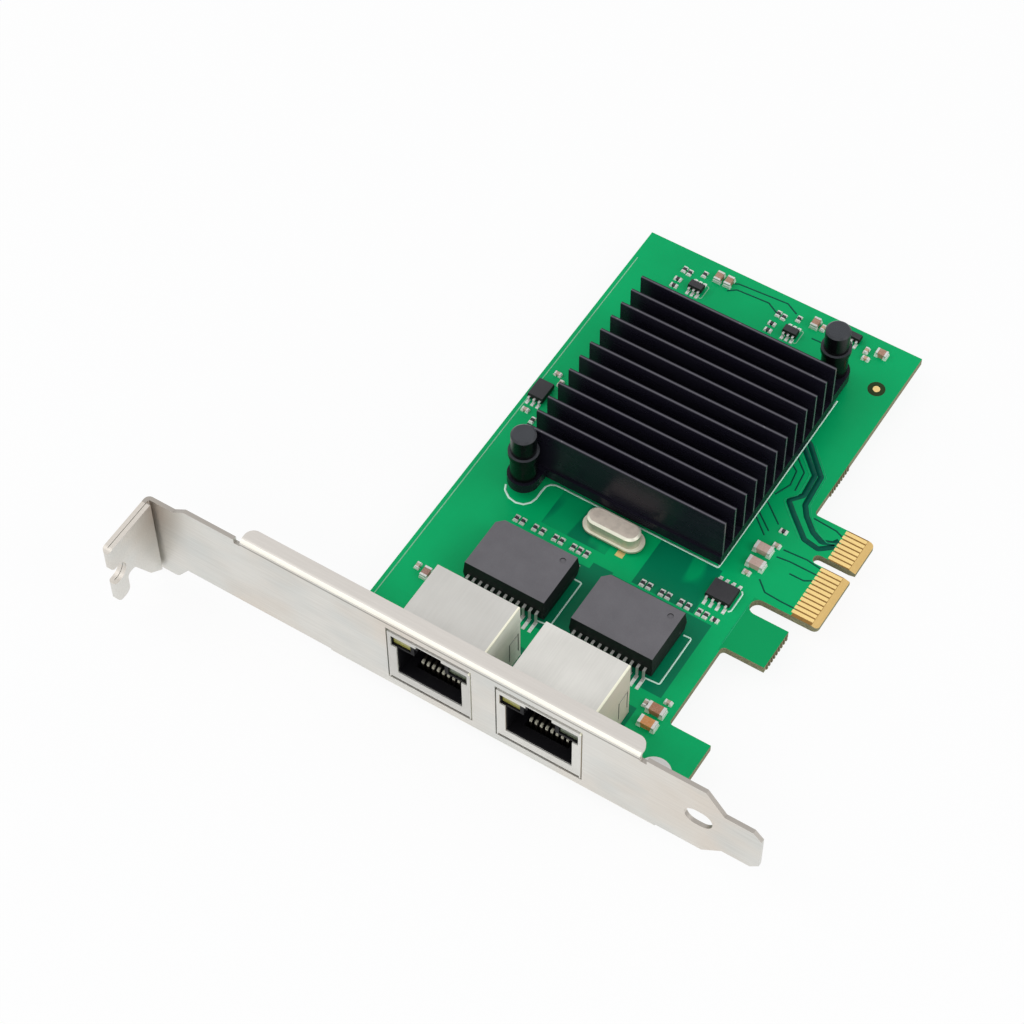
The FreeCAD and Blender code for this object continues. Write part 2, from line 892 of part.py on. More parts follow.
def jack_housing(centre):
    """Moulded insert with the plug room, latch slot, lens pockets and locating pegs."""
    gap = shell_sheet + jack_clearance
    half = jack_width / 2 - gap
    front = from_bracket(jack_front) + gap
    rear = from_bracket(jack_rear) - gap
    block = box(centre - half, centre + half, front, rear, board_top, above(jack_height) - gap)
    room = front - 1
    plug = plug_width / 2
    lip_back = from_bracket(jack_front) + front_lip_reach + jack_clearance
    lip_top = above(front_lip_height) + shell_sheet + jack_clearance
    cuts = [
        box(centre - half - 1, centre + half + 1, room, lip_back, board_top - 1, lip_top),
        box(centre - plug, centre + plug, room, front + plug_depth, above(plug_floor), above(plug_top)),
        box(
            centre - latch_width / 2, centre + latch_width / 2, room, front + plug_depth,
            above(plug_top) - 1, above(latch_top),
        ),
        box(
            centre - latch_key_width / 2, centre + latch_key_width / 2, room, front + plug_depth,
            above(latch_top) - 1, above(latch_key_top),
        ),
        box(
            centre - trough_half_width, centre + trough_half_width, from_bracket(wire_front) - 1,
            front + plug_depth, above(trough_floor), above(plug_floor) + 1,
        ),
    ]
    for side in (-1, 1):
        window_x = sorted((centre + side * window_inner, centre + side * window_outer))
        cuts.append(box(
            window_x[0], window_x[1], room, front + window_depth, above(window_floor), above(window_top),
        ))
    for row in range(2):
        tail_y = from_bracket(tail_near_reach + tail_row_step * row)
        cuts.append(box(
            centre - trough_half_width, centre + trough_half_width, tail_y - tail_slot_half,
            tail_y + tail_slot_half, board_top - 1, above(trough_floor) + 1,
        ))
    block = block.cut(cuts)
    pegs = []
    for side in (-1, 1):
        x = centre + side * peg_offset
        y = from_bracket(peg_reach)
        peg = rod(x, y, board_top - peg_length, board_top + plug_floor / 2, peg_radius)
        pegs.append(peg)
    return joined([block] + pegs)


def jack_contacts(centre):
    """Eight spring wires: tail through the board, run under the plug, bent back up."""
    wires = []
    front_y = from_bracket(wire_front)
    for x, tail in wire_places(centre):
        tail_y = from_bracket(tail)
        path = [
            (tail_y, board_top - tail_length),
            (tail_y, above(wire_level)),
            (front_y, above(wire_level)),
            (front_y, above(wire_level + wire_rise)),
            (from_bracket(wire_tip_reach), above(wire_tip_height)),
        ]
        strip = strip_outline(path, wire_thickness)
        wires.append(plate("yz", strip, x - wire_width / 2, wire_width))
    return wires


def jack_lights(centre):
    """The two lenses that fill the windows over the port."""
    gap = shell_sheet + jack_clearance
    front = from_bracket(jack_front) + gap + lens_inset
    lenses = []
    for side in (-1, 1):
        inner_x = centre + side * (window_inner + lens_clearance)
        outer_x = centre + side * (window_outer - lens_clearance)
        edges = sorted((inner_x, outer_x))
        lenses.append(box(
            edges[0], edges[1], front, front + window_depth - lens_inset - lens_clearance,
            above(window_floor) + lens_clearance, above(window_top) - lens_clearance,
        ))
    return lenses


# Chips with gull-wing leads


def moulded_body(x, y, length, width, low, seam, top, draft, corner):
    """Moulded package: two blocks that taper away from the seam."""
    halves = []
    for end_z in (low, top):
        wires = []
        for z, inset in ((seam, 0), (end_z, draft)):
            half_x = length / 2 - inset
            half_y = width / 2 - inset
            corners = rectangle(x - half_x, x + half_x, y - half_y, y + half_y, 0)
            if corner > 0:
                corners[3:] = [(x - half_x + corner, y + half_y, 0), (x - half_x, y + half_y - corner, 0)]
            wires.append(outline("xy", corners, z))
        halves.append(Part.makeLoft(wires, True, True))
    return joined(halves)


def gull_leads(x, y, count, pitch, width, thickness, body_half, seam, reach, foot, side):
    """A row of leads along X on one side of a package: side is 1 for +Y."""
    foot_z = board_top + thickness / 2
    path = [
        (body_half, seam),
        (body_half + reach, seam),
        (body_half + reach, foot_z),
        (body_half + reach + foot, foot_z),
    ]
    path = [(y + side * u, v) for u, v in path]
    strip = strip_outline(path, thickness)
    leads = []
    for index in range(count):
        lead_x = x + (index - (count - 1) / 2) * pitch
        leads.append(plate("yz", strip, lead_x - width / 2, width))
    return leads


def transformer_body(centre):
    y = from_bracket(module_reach)
    body = moulded_body(
        centre, y, module_length, module_width, above(module_standoff),
        above(module_seam), above(module_top), module_draft, module_corner,
    )
    dimple_x = centre + module_length / 2 - dimple_inset
    dimple_y = y + module_width / 2 - dimple_inset
    dimple_floor = above(module_top - dimple_depth)
    return body.cut(rod(dimple_x, dimple_y, dimple_floor, above(module_top) + 1, dimple_radius))


def transformer_leads(centre):
    leads = []
    for side in (-1, 1):
        leads.extend(gull_leads(
            centre, from_bracket(module_reach), module_pins, module_pin_pitch, module_pin_width,
            module_pin_thickness, module_width / 2, above(module_seam), module_pin_reach, module_foot, side,
        ))
    return leads


def small_chip(x, reach, length, width, height):
    """Body of a small moulded chip."""
    low = above(chip_standoff)
    seam = above((chip_standoff + height) / 2)
    y = from_bracket(reach)
    return moulded_body(x, y, length, width, low, seam, above(height), small_chip_draft, 0)


def small_leads(x, reach, count, pitch, width, height, foot, side):
    """Leads on one side of a small moulded chip."""
    seam = above((chip_standoff + height) / 2)
    return gull_leads(
        x, from_bracket(reach), count, pitch, small_pin_width, small_pin_thickness,
        width / 2, seam, small_pin_reach, foot, side,
    )


def controller_chip():
    half = chip_side / 2
    y = from_bracket(chip_reach)
    square = rectangle(chip_centre_x - half, chip_centre_x + half, y - half, y + half, 0.3)
    return plate("xy", square, board_top, chip_height)


def thermal_pad():
    half = chip_side / 2 - 1
    y = from_bracket(chip_reach)
    thickness = heatsink_low - chip_height
    return box(
        chip_centre_x - half, chip_centre_x + half, y - half, y + half,
        above(chip_height), above(chip_height) + thickness,
    )


# Heatsink and its push pins


def heatsink():
    """Extruded base with fins along X and a round ear at two opposite corners."""
    x0 = heatsink_left_x
    x1 = x0 + heatsink_length
    y0 = from_bracket(heatsink_reach)
    y1 = y0 + heatsink_width
    low = above(heatsink_low)
    base_top = low + heatsink_base
    profile = [(y0, low, 0)]
    profile.append((y1, low, 0))
    profile.append((y1, base_top, 0))
    for index in reversed(range(fin_count)):
        fin_y = y0 + fin_edge_inset + index * fin_pitch
        profile.append((fin_y + fin_thickness, base_top, 0))
        profile.append((fin_y + fin_thickness, above(heatsink_top), 0))
        profile.append((fin_y, above(heatsink_top), 0))
        profile.append((fin_y, base_top, 0))
    profile.append((y0, base_top, 0))
    block = plate("yz", profile, x0, x1 - x0)
    near, far = pin_centres()
    arms = [
        rod(near[0], near[1], low, base_top, ear_round),
        rod(far[0], far[1], low, base_top, ear_round),
        box(near[0], near[0] + ear_round, near[1], y0 + 1, low, base_top),
        box(far[0] - ear_round, far[0] + ear_round, y1 - 1, far[1], low, base_top),
    ]
    sink = joined([block] + arms)
    return sink.cut([rod(x, y, low - 1, base_top + 1, pin_hole_radius) for x, y in pin_centres()])


def push_pins():
    """Knob, collar and hollow sleeve over a shank with two barbed prongs through the board."""
    pins = []
    seat = above(heatsink_low + heatsink_base)
    knob_low = above(pin_top) - pin_knob_height
    sleeve_top = knob_low - pin_collar_height
    for x, y in pin_centres():
        knob = rod(x, y, knob_low, above(pin_top), pin_knob_radius)
        knob = knob.makeChamfer(pin_knob_round, [top_edge(knob)])
        collar = rod(x, y, sleeve_top, knob_low, pin_collar_radius)
        sleeve = rod(x, y, seat, sleeve_top, pin_sleeve_radius)
        sleeve = sleeve.cut(rod(x, y, seat - 1, sleeve_top, pin_sleeve_radius - pin_sleeve_wall))
        shank = rod(x, y, seat, sleeve_top, pin_shank_radius)
        barb_top = board_bottom - pin_barb_gap
        tip = barb_top - pin_barb_length
        prongs = []
        for side in (-1, 1):
            corners = [
                (x + side * pin_slit / 2, seat, 0),
                (x + side * pin_prong_half, seat, 0),
                (x + side * pin_prong_half, barb_top, 0),
                (x + side * pin_barb_half, barb_top, 0),
                (x + side * pin_tip_half, tip, 0),
                (x + side * pin_slit / 2, tip, 0),
            ]
            prongs.append(plate("xz", corners, y - pin_prong_depth / 2, pin_prong_depth))
        pins.append(joined([knob, collar, sleeve, shank] + prongs))
    return pins


def push_pin_springs():
    """Coil spring round each shank, between the heatsink's ear and the collar."""
    seat = above(heatsink_low + heatsink_base)
    sleeve_top = above(pin_top) - pin_knob_height - pin_collar_height
    half = spring_wire / 2
    first_z = seat + spring_end_gap + half
    room = sleeve_top - spring_end_gap - half - first_z
    outer = pin_sleeve_radius - pin_sleeve_wall - spring_side_gap
    inner = outer - spring_wire
    stations = spring_turns * spring_sides
    springs = []
    for x, y in pin_centres():
        sections = []
        for station in range(stations + 1):
            angle = 2 * math.pi * station / spring_sides
            z = first_z + room * station / stations
            points = []
            for r, h in ((outer, z - half), (outer, z + half), (inner, z + half), (inner, z - half)):
                points.append(FreeCAD.Vector(x + r * math.cos(angle), y + r * math.sin(angle), h))
            sections.append(Part.makePolygon(points + points[:1]))
        springs.append(Part.makeLoft(sections, True, True))
    return springs


# Crystal


def slot_corners(x, y, length, width):
    """Corners of a long shape with half-round ends along X."""
    return rectangle(x - length / 2, x + length / 2, y - width / 2, y + width / 2, width / 2)


def crystal_can():
    y = from_bracket(crystal_reach)
    low = above(crystal_base_height)
    rim_plan = slot_corners(crystal_x, y, crystal_rim_length, crystal_rim_width)
    rim = plate("xy", rim_plan, low, crystal_rim_height)
    can_height = above(crystal_top) - low
    can_plan = slot_corners(crystal_x, y, crystal_can_length, crystal_can_width)
    can = plate("xy", can_plan, low, can_height)
    rounded = [edge for edge in can.Edges if edge.BoundBox.ZMin > low + can_height - 1e-4]
    can = can.makeChamfer(crystal_round, rounded)
    return joined([rim, can])


def crystal_base():
    y = from_bracket(crystal_reach)
    length = crystal_rim_length - 2 * crystal_base_inset
    width = crystal_rim_width - 2 * crystal_base_inset
    return plate("xy", slot_corners(crystal_x, y, length, width), board_top, crystal_base_height)


# Surface-mount parts with capped ends


def chip_part(x, reach, axis, size):
    """Ceramic body and its two end caps for one surface-mount part."""
    length, width, height, cap = size
    y = from_bracket(reach)
    half = length / 2
    side = width / 2
    core = half - cap
    thin = solder_film
    if axis == "x":
        body = box(x - core, x + core, y - side + thin, y + side - thin, board_top, above(height - thin))
        caps = [
            box(x - half, x - core, y - side, y + side, board_top, above(height)),
            box(x + core, x + half, y - side, y + side, board_top, above(height)),
        ]
    else:
        body = box(x - side + thin, x + side - thin, y - core, y + core, board_top, above(height - thin))
        caps = [
            box(x - side, x + side, y - half, y - core, board_top, above(height)),
            box(x - side, x + side, y + core, y + half, board_top, above(height)),
        ]
    return body, caps


def write_chip_parts(name, groups):
    """Write a node of bodies and a node of end caps for groups of (places, size)."""
    bodies = []
    caps = []
    for places, size in groups:
        for x, reach, axis in places:
            body, ends = chip_part(x, reach, axis, size)
            bodies.append(body)
            caps.extend(ends)
    write(name + "_bodies", bodies)
    write(name + "_ends", caps)


def stepped(steps, x, reach):
    """Places of parts that are given as steps from a corner."""
    return [(x + step_x, reach + step_reach, axis) for step_x, step_reach, axis in steps]


def large_capacitor_places():
    return stepped(memory_side_large, main_x, memory_reach) + stepped(bracket_side_large, main_x, 0)


def middle_capacitor_places():
    return stepped(plain_edge_middle, plain_x, 0) + stepped(far_edge_middle, 0, board_reach)


def small_capacitor_places():
    places = stepped(memory_side_small, main_x, memory_reach)
    places += stepped(bracket_side_small, main_x, 0)
    places += stepped(plain_edge_small, plain_x, 0)
    places += stepped(between_jacks_small, jack_1_x, 0)
    places += stepped(far_edge_small, 0, board_reach)
    places += stepped(edge_part_small, edge_part_x, edge_part_reach)
    return places


def resistor_places():
    places = [(x, resistor_row_reach, "y") for x in resistor_row_x]
    places.append((resistor_row_end_x, resistor_row_reach, "x"))
    for regulator_x in regulator_centres:
        places += stepped(regulator_resistors, regulator_x, regulator_reach)
    places += stepped(memory_side_resistors, main_x, memory_reach)
    places += stepped(edge_part_resistors, edge_part_x, edge_part_reach)
    return places


# Write every node

os.makedirs("parts", exist_ok=True)
write("board", [board()])
write("edge_contacts_front", edge_contacts(1))
write("edge_contacts_back", edge_contacts(-1))
write("bracket", [bracket()])
write("bracket_screws", bracket_screws())
for number, centre in enumerate(jack_centres, start=1):
    write("jack_shell_" + str(number), [jack_shell(centre)])
    write("jack_housing_" + str(number), [jack_housing(centre)])
    write("jack_contacts_" + str(number), jack_contacts(centre))
    write("jack_lights_" + str(number), jack_lights(centre))
for number, centre in enumerate(module_centres, start=1):
    write("transformer_body_" + str(number), [transformer_body(centre)])
    write("transformer_leads_" + str(number), transformer_leads(centre))
write("heatsink", [heatsink()])
write("thermal_pad", [thermal_pad()])
write("controller_chip", [controller_chip()])
write("push_pins", push_pins())
write("push_pin_springs", push_pin_springs())
write("crystal_can", [crystal_can()])
write("crystal_base", [crystal_base()])
write("memory_chip_body", [
    small_chip(memory_x, memory_reach, memory_length, memory_width, small_chip_height),
])
memory_leads = []
for side in (-1, 1):
    memory_leads.extend(small_leads(
        memory_x, memory_reach, memory_pins, memory_pin_pitch, memory_width,
        small_chip_height, memory_foot, side,
    ))
write("memory_chip_leads", memory_leads)
regulator_solids = []
regulator_lead_solids = []
for x in regulator_centres:
    regulator_solids.append(
        small_chip(x, regulator_reach, regulator_length, regulator_width, small_chip_height),
    )
    for side in (-1, 1):
        regulator_lead_solids.extend(small_leads(
            x, regulator_reach, regulator_pins, regulator_pin_pitch, regulator_width,
            small_chip_height, small_foot, side,
        ))
write("regulator_bodies", regulator_solids)
write("regulator_leads", regulator_lead_solids)
write("edge_transistor_body", [
    small_chip(edge_part_x, edge_part_reach, edge_part_length, edge_part_width, edge_part_height),
])
write("edge_transistor_leads", small_leads(
    edge_part_x, edge_part_reach, small_part_pins, edge_part_pin_pitch, edge_part_width,
    edge_part_height, small_foot, -1,
))
write("corner_transistor_body", [
    small_chip(corner_part_x, corner_part_reach, corner_part_length, corner_part_width, small_chip_height),
])
write("corner_transistor_leads", small_leads(
    corner_part_x, corner_part_reach, small_part_pins, corner_part_pin_pitch, corner_part_width,
    small_chip_height, small_foot, -1,
))
write_chip_parts("large_capacitor", [
    (large_capacitor_places(), large_size), (middle_capacitor_places(), middle_size),
])
write_chip_parts("small_capacitor", [(small_capacitor_places(), small_size)])
write_chip_parts("resistor", [(resistor_places(), resistor_size)])
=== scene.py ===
"""Looks of a flat network interface card: finishes, printed and soldered detail, floor, lamps and camera."""
import logging
import math
from dataclasses import dataclass, field
from enum import Enum
from functools import reduce
from typing import Sequence

import bpy
import numpy as np
from mathutils import Matrix, Vector


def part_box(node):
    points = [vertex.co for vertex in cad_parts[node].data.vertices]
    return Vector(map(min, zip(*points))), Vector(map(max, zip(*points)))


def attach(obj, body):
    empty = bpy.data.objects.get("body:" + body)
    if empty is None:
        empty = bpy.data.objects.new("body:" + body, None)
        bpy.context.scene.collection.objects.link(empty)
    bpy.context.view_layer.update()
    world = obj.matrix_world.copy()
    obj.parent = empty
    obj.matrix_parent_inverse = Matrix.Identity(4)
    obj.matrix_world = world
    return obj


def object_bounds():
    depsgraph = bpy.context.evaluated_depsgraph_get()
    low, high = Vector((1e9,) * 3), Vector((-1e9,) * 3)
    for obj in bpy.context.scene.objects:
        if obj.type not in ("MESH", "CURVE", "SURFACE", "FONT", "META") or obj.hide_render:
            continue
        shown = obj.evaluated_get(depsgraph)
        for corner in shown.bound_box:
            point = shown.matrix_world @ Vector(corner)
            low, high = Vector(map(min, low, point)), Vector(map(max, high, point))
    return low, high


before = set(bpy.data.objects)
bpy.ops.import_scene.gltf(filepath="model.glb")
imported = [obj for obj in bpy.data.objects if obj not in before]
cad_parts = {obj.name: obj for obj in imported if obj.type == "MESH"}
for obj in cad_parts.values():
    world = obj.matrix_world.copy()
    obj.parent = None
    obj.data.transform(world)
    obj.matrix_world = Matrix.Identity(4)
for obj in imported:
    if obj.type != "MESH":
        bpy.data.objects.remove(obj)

logger = logging.getLogger("network_card")

MM = 0.001
CAD_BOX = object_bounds()

# Distance from the bracket's outer face to the key notch, the frame's origin, in millimetres
KEY_REACH = 59.05

Number = float | int
Triple = tuple[float, float, float]
Colour = tuple[float, float, float, float]

# A place on the board is its x and its reach behind the bracket, and a zone is lowest and highest x,
# then nearest and farthest reach, all in millimetres
Place = tuple[float, float]
Zone = tuple[float, float, float, float]


def srgb(red: int, green: int, blue: int) -> Colour:
    """Turn a colour as seen on a screen into the linear colour that a shader takes.

    Args:
        red, green, blue: channels from 0 to 255.

    Returns:
        The linear colour with full alpha.
    """
    linear = []
    for channel in (red, green, blue):
        share = channel / 255
        linear.append(share / 12.92 if share <= 0.04045 else ((share + 0.055) / 1.055) ** 2.4)
    return (linear[0], linear[1], linear[2], 1.0)


def along(reach: float) -> float:
    """Y in millimetres of a place that lies the given distance behind the bracket's face."""
    return reach - KEY_REACH


def metres(*lengths_mm: float) -> tuple[float, ...]:
    """Lengths in millimetres, turned into metres."""
    return tuple(length * MM for length in lengths_mm)


# Shader graphs


@dataclass(frozen=True)
class Reading:
    """One socket of a shader graph that takes part in plain arithmetic."""

    graph: "ShaderGraph"
    socket: bpy.types.NodeSocket

    def _with(self, operation: str, first: "Reading | Number", second: "Reading | Number") -> "Reading":
        """Add one Math node for two operands."""
        return self.graph.node("ShaderNodeMath", {"operation": operation}, {0: first, 1: second})

    def __add__(self, other: "Reading | Number") -> "Reading":
        """Value + other."""
        return self._with("ADD", self, other)

    def __radd__(self, other: "Reading | Number") -> "Reading":
        """Other + value."""
        return self._with("ADD", other, self)

    def __sub__(self, other: "Reading | Number") -> "Reading":
        """Value - other."""
        return self._with("SUBTRACT", self, other)

    def __rsub__(self, other: "Reading | Number") -> "Reading":
        """Other - value."""
        return self._with("SUBTRACT", other, self)

    def __mul__(self, other: "Reading | Number") -> "Reading":
        """Value * other."""
        return self._with("MULTIPLY", self, other)

    def __rmul__(self, other: "Reading | Number") -> "Reading":
        """Other * value."""
        return self._with("MULTIPLY", other, self)

    def over(self, limit: "Reading | Number") -> "Reading":
        """1 where the value is greater than the limit, and 0 elsewhere."""
        return self._with("GREATER_THAN", self, limit)

    def under(self, limit: "Reading | Number") -> "Reading":
        """1 where the value is less than the limit, and 0 elsewhere."""
        return self._with("LESS_THAN", self, limit)

    def between(self, low: Number, high: Number) -> "Reading":
        """1 where the value lies between two limits, and 0 elsewhere."""
        return self.over(low) * self.under(high)

    def size(self) -> "Reading":
        """The value without its sign."""
        return self._with("ABSOLUTE", self, 0.0)

    def either(self, other: "Reading") -> "Reading":
        """The greater of two values, which joins two masks."""
        return self._with("MAXIMUM", self, other)

    def off_nearest(self, first: Number, pitch: Number) -> "Reading":
        """Distance from the nearest of many planes.

        Args:
            first: place of the first plane.
            pitch: distance from each plane to the next.

        Returns:
            The distance, in the value's own unit.
        """
        turns = (self - first) * (1 / pitch) + 0.5
        return (self._with("FRACT", turns, 0.0) - 0.5).size() * pitch

    def ramp(self, low: Number, high: Number) -> "Reading":
        """The value stretched so that low gives 0 and high gives 1, held within those."""
        return self.graph.node("ShaderNodeMapRange", {"clamp": True}, {0: self, 1: low, 2: high})


Value = Reading | Number
Paint = Reading | Colour
Axes = tuple[Reading, Reading, Reading]

# Stretches of a noise or a slope that ramps take: for soft clouds, clear grain, uneven tint and wide blends
SOFT = (0.3, 0.7)
GRAIN = (0.35, 0.65)
CLOUD = (0.35, 0.75)
WIDE = (0.3, 0.8)

# Noise that isn't drawn out along any axis
EVEN = (1.0, 1.0, 1.0)


def add_node(tree: bpy.types.NodeTree, kind: str, settings: dict | None,
             inputs: dict | None) -> bpy.types.Node:
    """Add a node to a shader tree or a geometry tree.

    Args:
        tree: the tree.
        kind: the node's type name.
        settings: properties set first.
        inputs: values, sockets or readings for its sockets, by name or number.

    Returns:
        The node.
    """
    made = tree.nodes.new(kind)
    for key, value in (settings or {}).items():
        setattr(made, key, value)
    for key, value in (inputs or {}).items():
        source = value.socket if isinstance(value, Reading) else value
        if isinstance(source, bpy.types.NodeSocket):
            tree.links.new(source, made.inputs[key])
        else:
            made.inputs[key].default_value = source
    return made


class ShaderGraph:
    """The node tree of a material or of the world, built by calls and arithmetic."""

    def __init__(self, name: str, world: bool = False) -> None:
        """Make an empty material or world.

        Args:
            name: its name.
            world: True makes a world.
        """
        self.owner = (bpy.data.worlds if world else bpy.data.materials).new(name)
        self.owner.use_nodes = True
        self.tree = self.owner.node_tree
        self.tree.nodes.clear()
        self.end_kind = "ShaderNodeOutputWorld" if world else "ShaderNodeOutputMaterial"
        self.glow_kind = "ShaderNodeBackground" if world else "ShaderNodeEmission"

    def node(self, kind: str, settings: dict | None = None, inputs: dict | None = None,
             output: int | str = 0) -> Reading:
        """Add any node.

        Args:
            kind: the node's type name.
            settings: properties set first.
            inputs: values or readings for its sockets, by name or number.
            output: name or number of the socket that is read.

        Returns:
            The reading of that output.
        """
        return Reading(self, add_node(self.tree, kind, settings, inputs).outputs[output])

    def _split(self, vector: Reading) -> Axes:
        """A vector's X, Y and Z as three readings."""
        return tuple(self.node("ShaderNodeSeparateXYZ", inputs={0: vector}, output=axis) for axis in "XYZ")

    def place(self) -> Reading:
        """Object coordinates, in metres."""
        return self.node("ShaderNodeTexCoord", output="Object")

    def axes(self) -> Axes:
        """Object coordinates as three readings in millimetres."""
        return tuple(reading * 1000.0 for reading in self._split(self.place()))

    def facing(self) -> Axes:
        """The surface's normal as three readings."""
        return self._split(self.node("ShaderNodeNewGeometry", output="Normal"))

    def noise(self, grain_mm: float, detail: float = 2.0, stretch: Triple = EVEN) -> Reading:
        """Soft noise between 0 and 1.

        Args:
            grain_mm: size of its blotches in millimetres.
            detail: octaves of finer noise.
            stretch: factor on each axis; a small one draws the blotches out along it.

        Returns:
            The noise's value.
        """
        scaled = self.node("ShaderNodeVectorMath", {"operation": "MULTIPLY"}, {0: self.place(), 1: stretch})
        inputs = {"Vector": scaled, "Scale": 1000.0 / grain_mm, "Detail": detail}
        return self.node("ShaderNodeTexNoise", inputs=inputs)

    def blend(self, share: Value, first: Paint, second: Paint) -> Reading:
        """Mix two colours.

        Args:
            share: 0 gives the first and 1 the second.
            first, second: colours or colour readings.

        Returns:
            The mixed colour.
        """
        return self.node("ShaderNodeMix", {"data_type": "RGBA"}, {0: share, 6: first, 7: second}, output=2)

    def bump(self, height: Reading, depth_mm: float) -> Reading:
        """A normal that follows a height.

        Args:
            height: value between 0 and 1.
            depth_mm: height of 1 in millimetres.

        Returns:
            The bumped normal.
        """
        inputs = {"Height": height, "Strength": 1.0, "Distance": depth_mm * MM}
        return self.node("ShaderNodeBump", inputs=inputs)

    def close(self, colour: Paint, roughness: Value, **sockets: Value) -> bpy.types.Material:
        """End the tree in one Principled shader.

        Args:
            colour: base colour.
            roughness: roughness.
            sockets: other sockets, named with underscores for spaces.

        Returns:
            The finished material.
        """
        inputs = {"Base Color": colour, "Roughness": roughness}
        for key, value in sockets.items():
            inputs[key.replace("_", " ")] = value
        return self.show(self.node("ShaderNodeBsdfPrincipled", inputs=inputs))

    def show(self, shader: Reading) -> bpy.types.Material | bpy.types.World:
        """End the tree in a shader.

        Args:
            shader: the shader.

        Returns:
            The material or world that the tree belongs to.
        """
        end = self.tree.nodes.new(self.end_kind)
        self.tree.links.new(shader.socket, end.inputs["Surface"])
        return self.owner

    def white_when_seen(self, shader: Reading, share: float) -> bpy.types.Material | bpy.types.World:
        """End the tree in a shader that turns white for the camera and for mirrored and refracted rays.

        Args:
            shader: what lights the card and takes its shadow.
            share: how much of the white those rays see.

        Returns:
            The finished material or world.
        """
        seen = self.node("ShaderNodeLightPath", output="Is Camera Ray")
        for ray in ("Is Glossy Ray", "Is Transmission Ray"):
            seen = seen.either(self.node("ShaderNodeLightPath", output=ray))
        white = self.node(self.glow_kind, inputs={"Color": (1.0, 1.0, 1.0, 1.0), "Strength": 1.0})
        return self.show(self.node("ShaderNodeMixShader", inputs={0: seen * share, 1: shader, 2: white}))


def covered(x: Reading, y: Reading, zones: Sequence[Zone]) -> Reading:
    """1 within any zone of the board, and 0 elsewhere.

    Args:
        x, y: readings of the place in millimetres.
        zones: the zones.

    Returns:
        The mask.
    """
    masks = [x.between(x0, x1) * y.between(along(near), along(far)) for x0, x1, near, far in zones]
    return reduce(Reading.either, masks)


# Finishes


@dataclass(frozen=True)
class SheetMetal:
    """Plated sheet or drawn metal with fine grain and faint handling marks."""

    name: str
    colour: Colour
    roughness: float = 0.36
    metallic: float = 0.9
    grain_mm: float = 0.25
    stretch: Triple = (0.05, 1.0, 1.0)
    unevenness: float = 0.06
    bump_mm: float = 0.004

    def build(self) -> bpy.types.Material:
        """Build the material.

        Returns:
            The material.
        """
        graph = ShaderGraph(self.name)
        grain = graph.noise(self.grain_mm, 3.0, self.stretch)
        cloud = graph.noise(9.0)
        dark = tuple(channel * (1 - 2.2 * self.unevenness) for channel in self.colour[:3]) + (1.0,)
        colour = graph.blend(cloud.ramp(*SOFT) * 0.5 + grain.ramp(*GRAIN) * 0.3, self.colour, dark)
        uneven = grain.ramp(*SOFT) * (2 * self.unevenness) + cloud * self.unevenness
        roughness = uneven + (self.roughness - self.unevenness)
        return graph.close(colour, roughness, Metallic=self.metallic, Normal=graph.bump(grain, self.bump_mm))


@dataclass(frozen=True)
class Moulding:
    """Moulded resin or plastic with fine pitting and uneven gloss; given a side colour, its steep faces are
    painted darker, as painted shade, under a lighter top.
    """

    name: str
    colour: Colour
    worn: Colour
    roughness: float = 0.5
    grain_mm: float = 0.12
    bump_mm: float = 0.006
    # Painted shade for the steep faces, when given.
    sides: Colour | None = None
    specular: float = 0.5

    def build(self) -> bpy.types.Material:
        """Build the material.

        Returns:
            The material.
        """
        graph = ShaderGraph(self.name)
        grain = graph.noise(self.grain_mm)
        cloud = graph.noise(4.0)
        colour = graph.blend(grain.ramp(*CLOUD) * 0.5 + cloud.ramp(*CLOUD) * 0.4, self.colour, self.worn)
        # Painted shade: steep faces take the side colour, while faces turned up or down keep the lighter main
        # colour.
        if self.sides:
            _, _, up = graph.facing()
            colour = graph.blend(up.size().ramp(*WIDE), self.sides, colour)
        roughness = grain * 0.12 + cloud * 0.1 + (self.roughness - 0.1)
        return graph.close(
            colour, roughness, Normal=graph.bump(grain, self.bump_mm), Specular_IOR_Level=self.specular,
        )


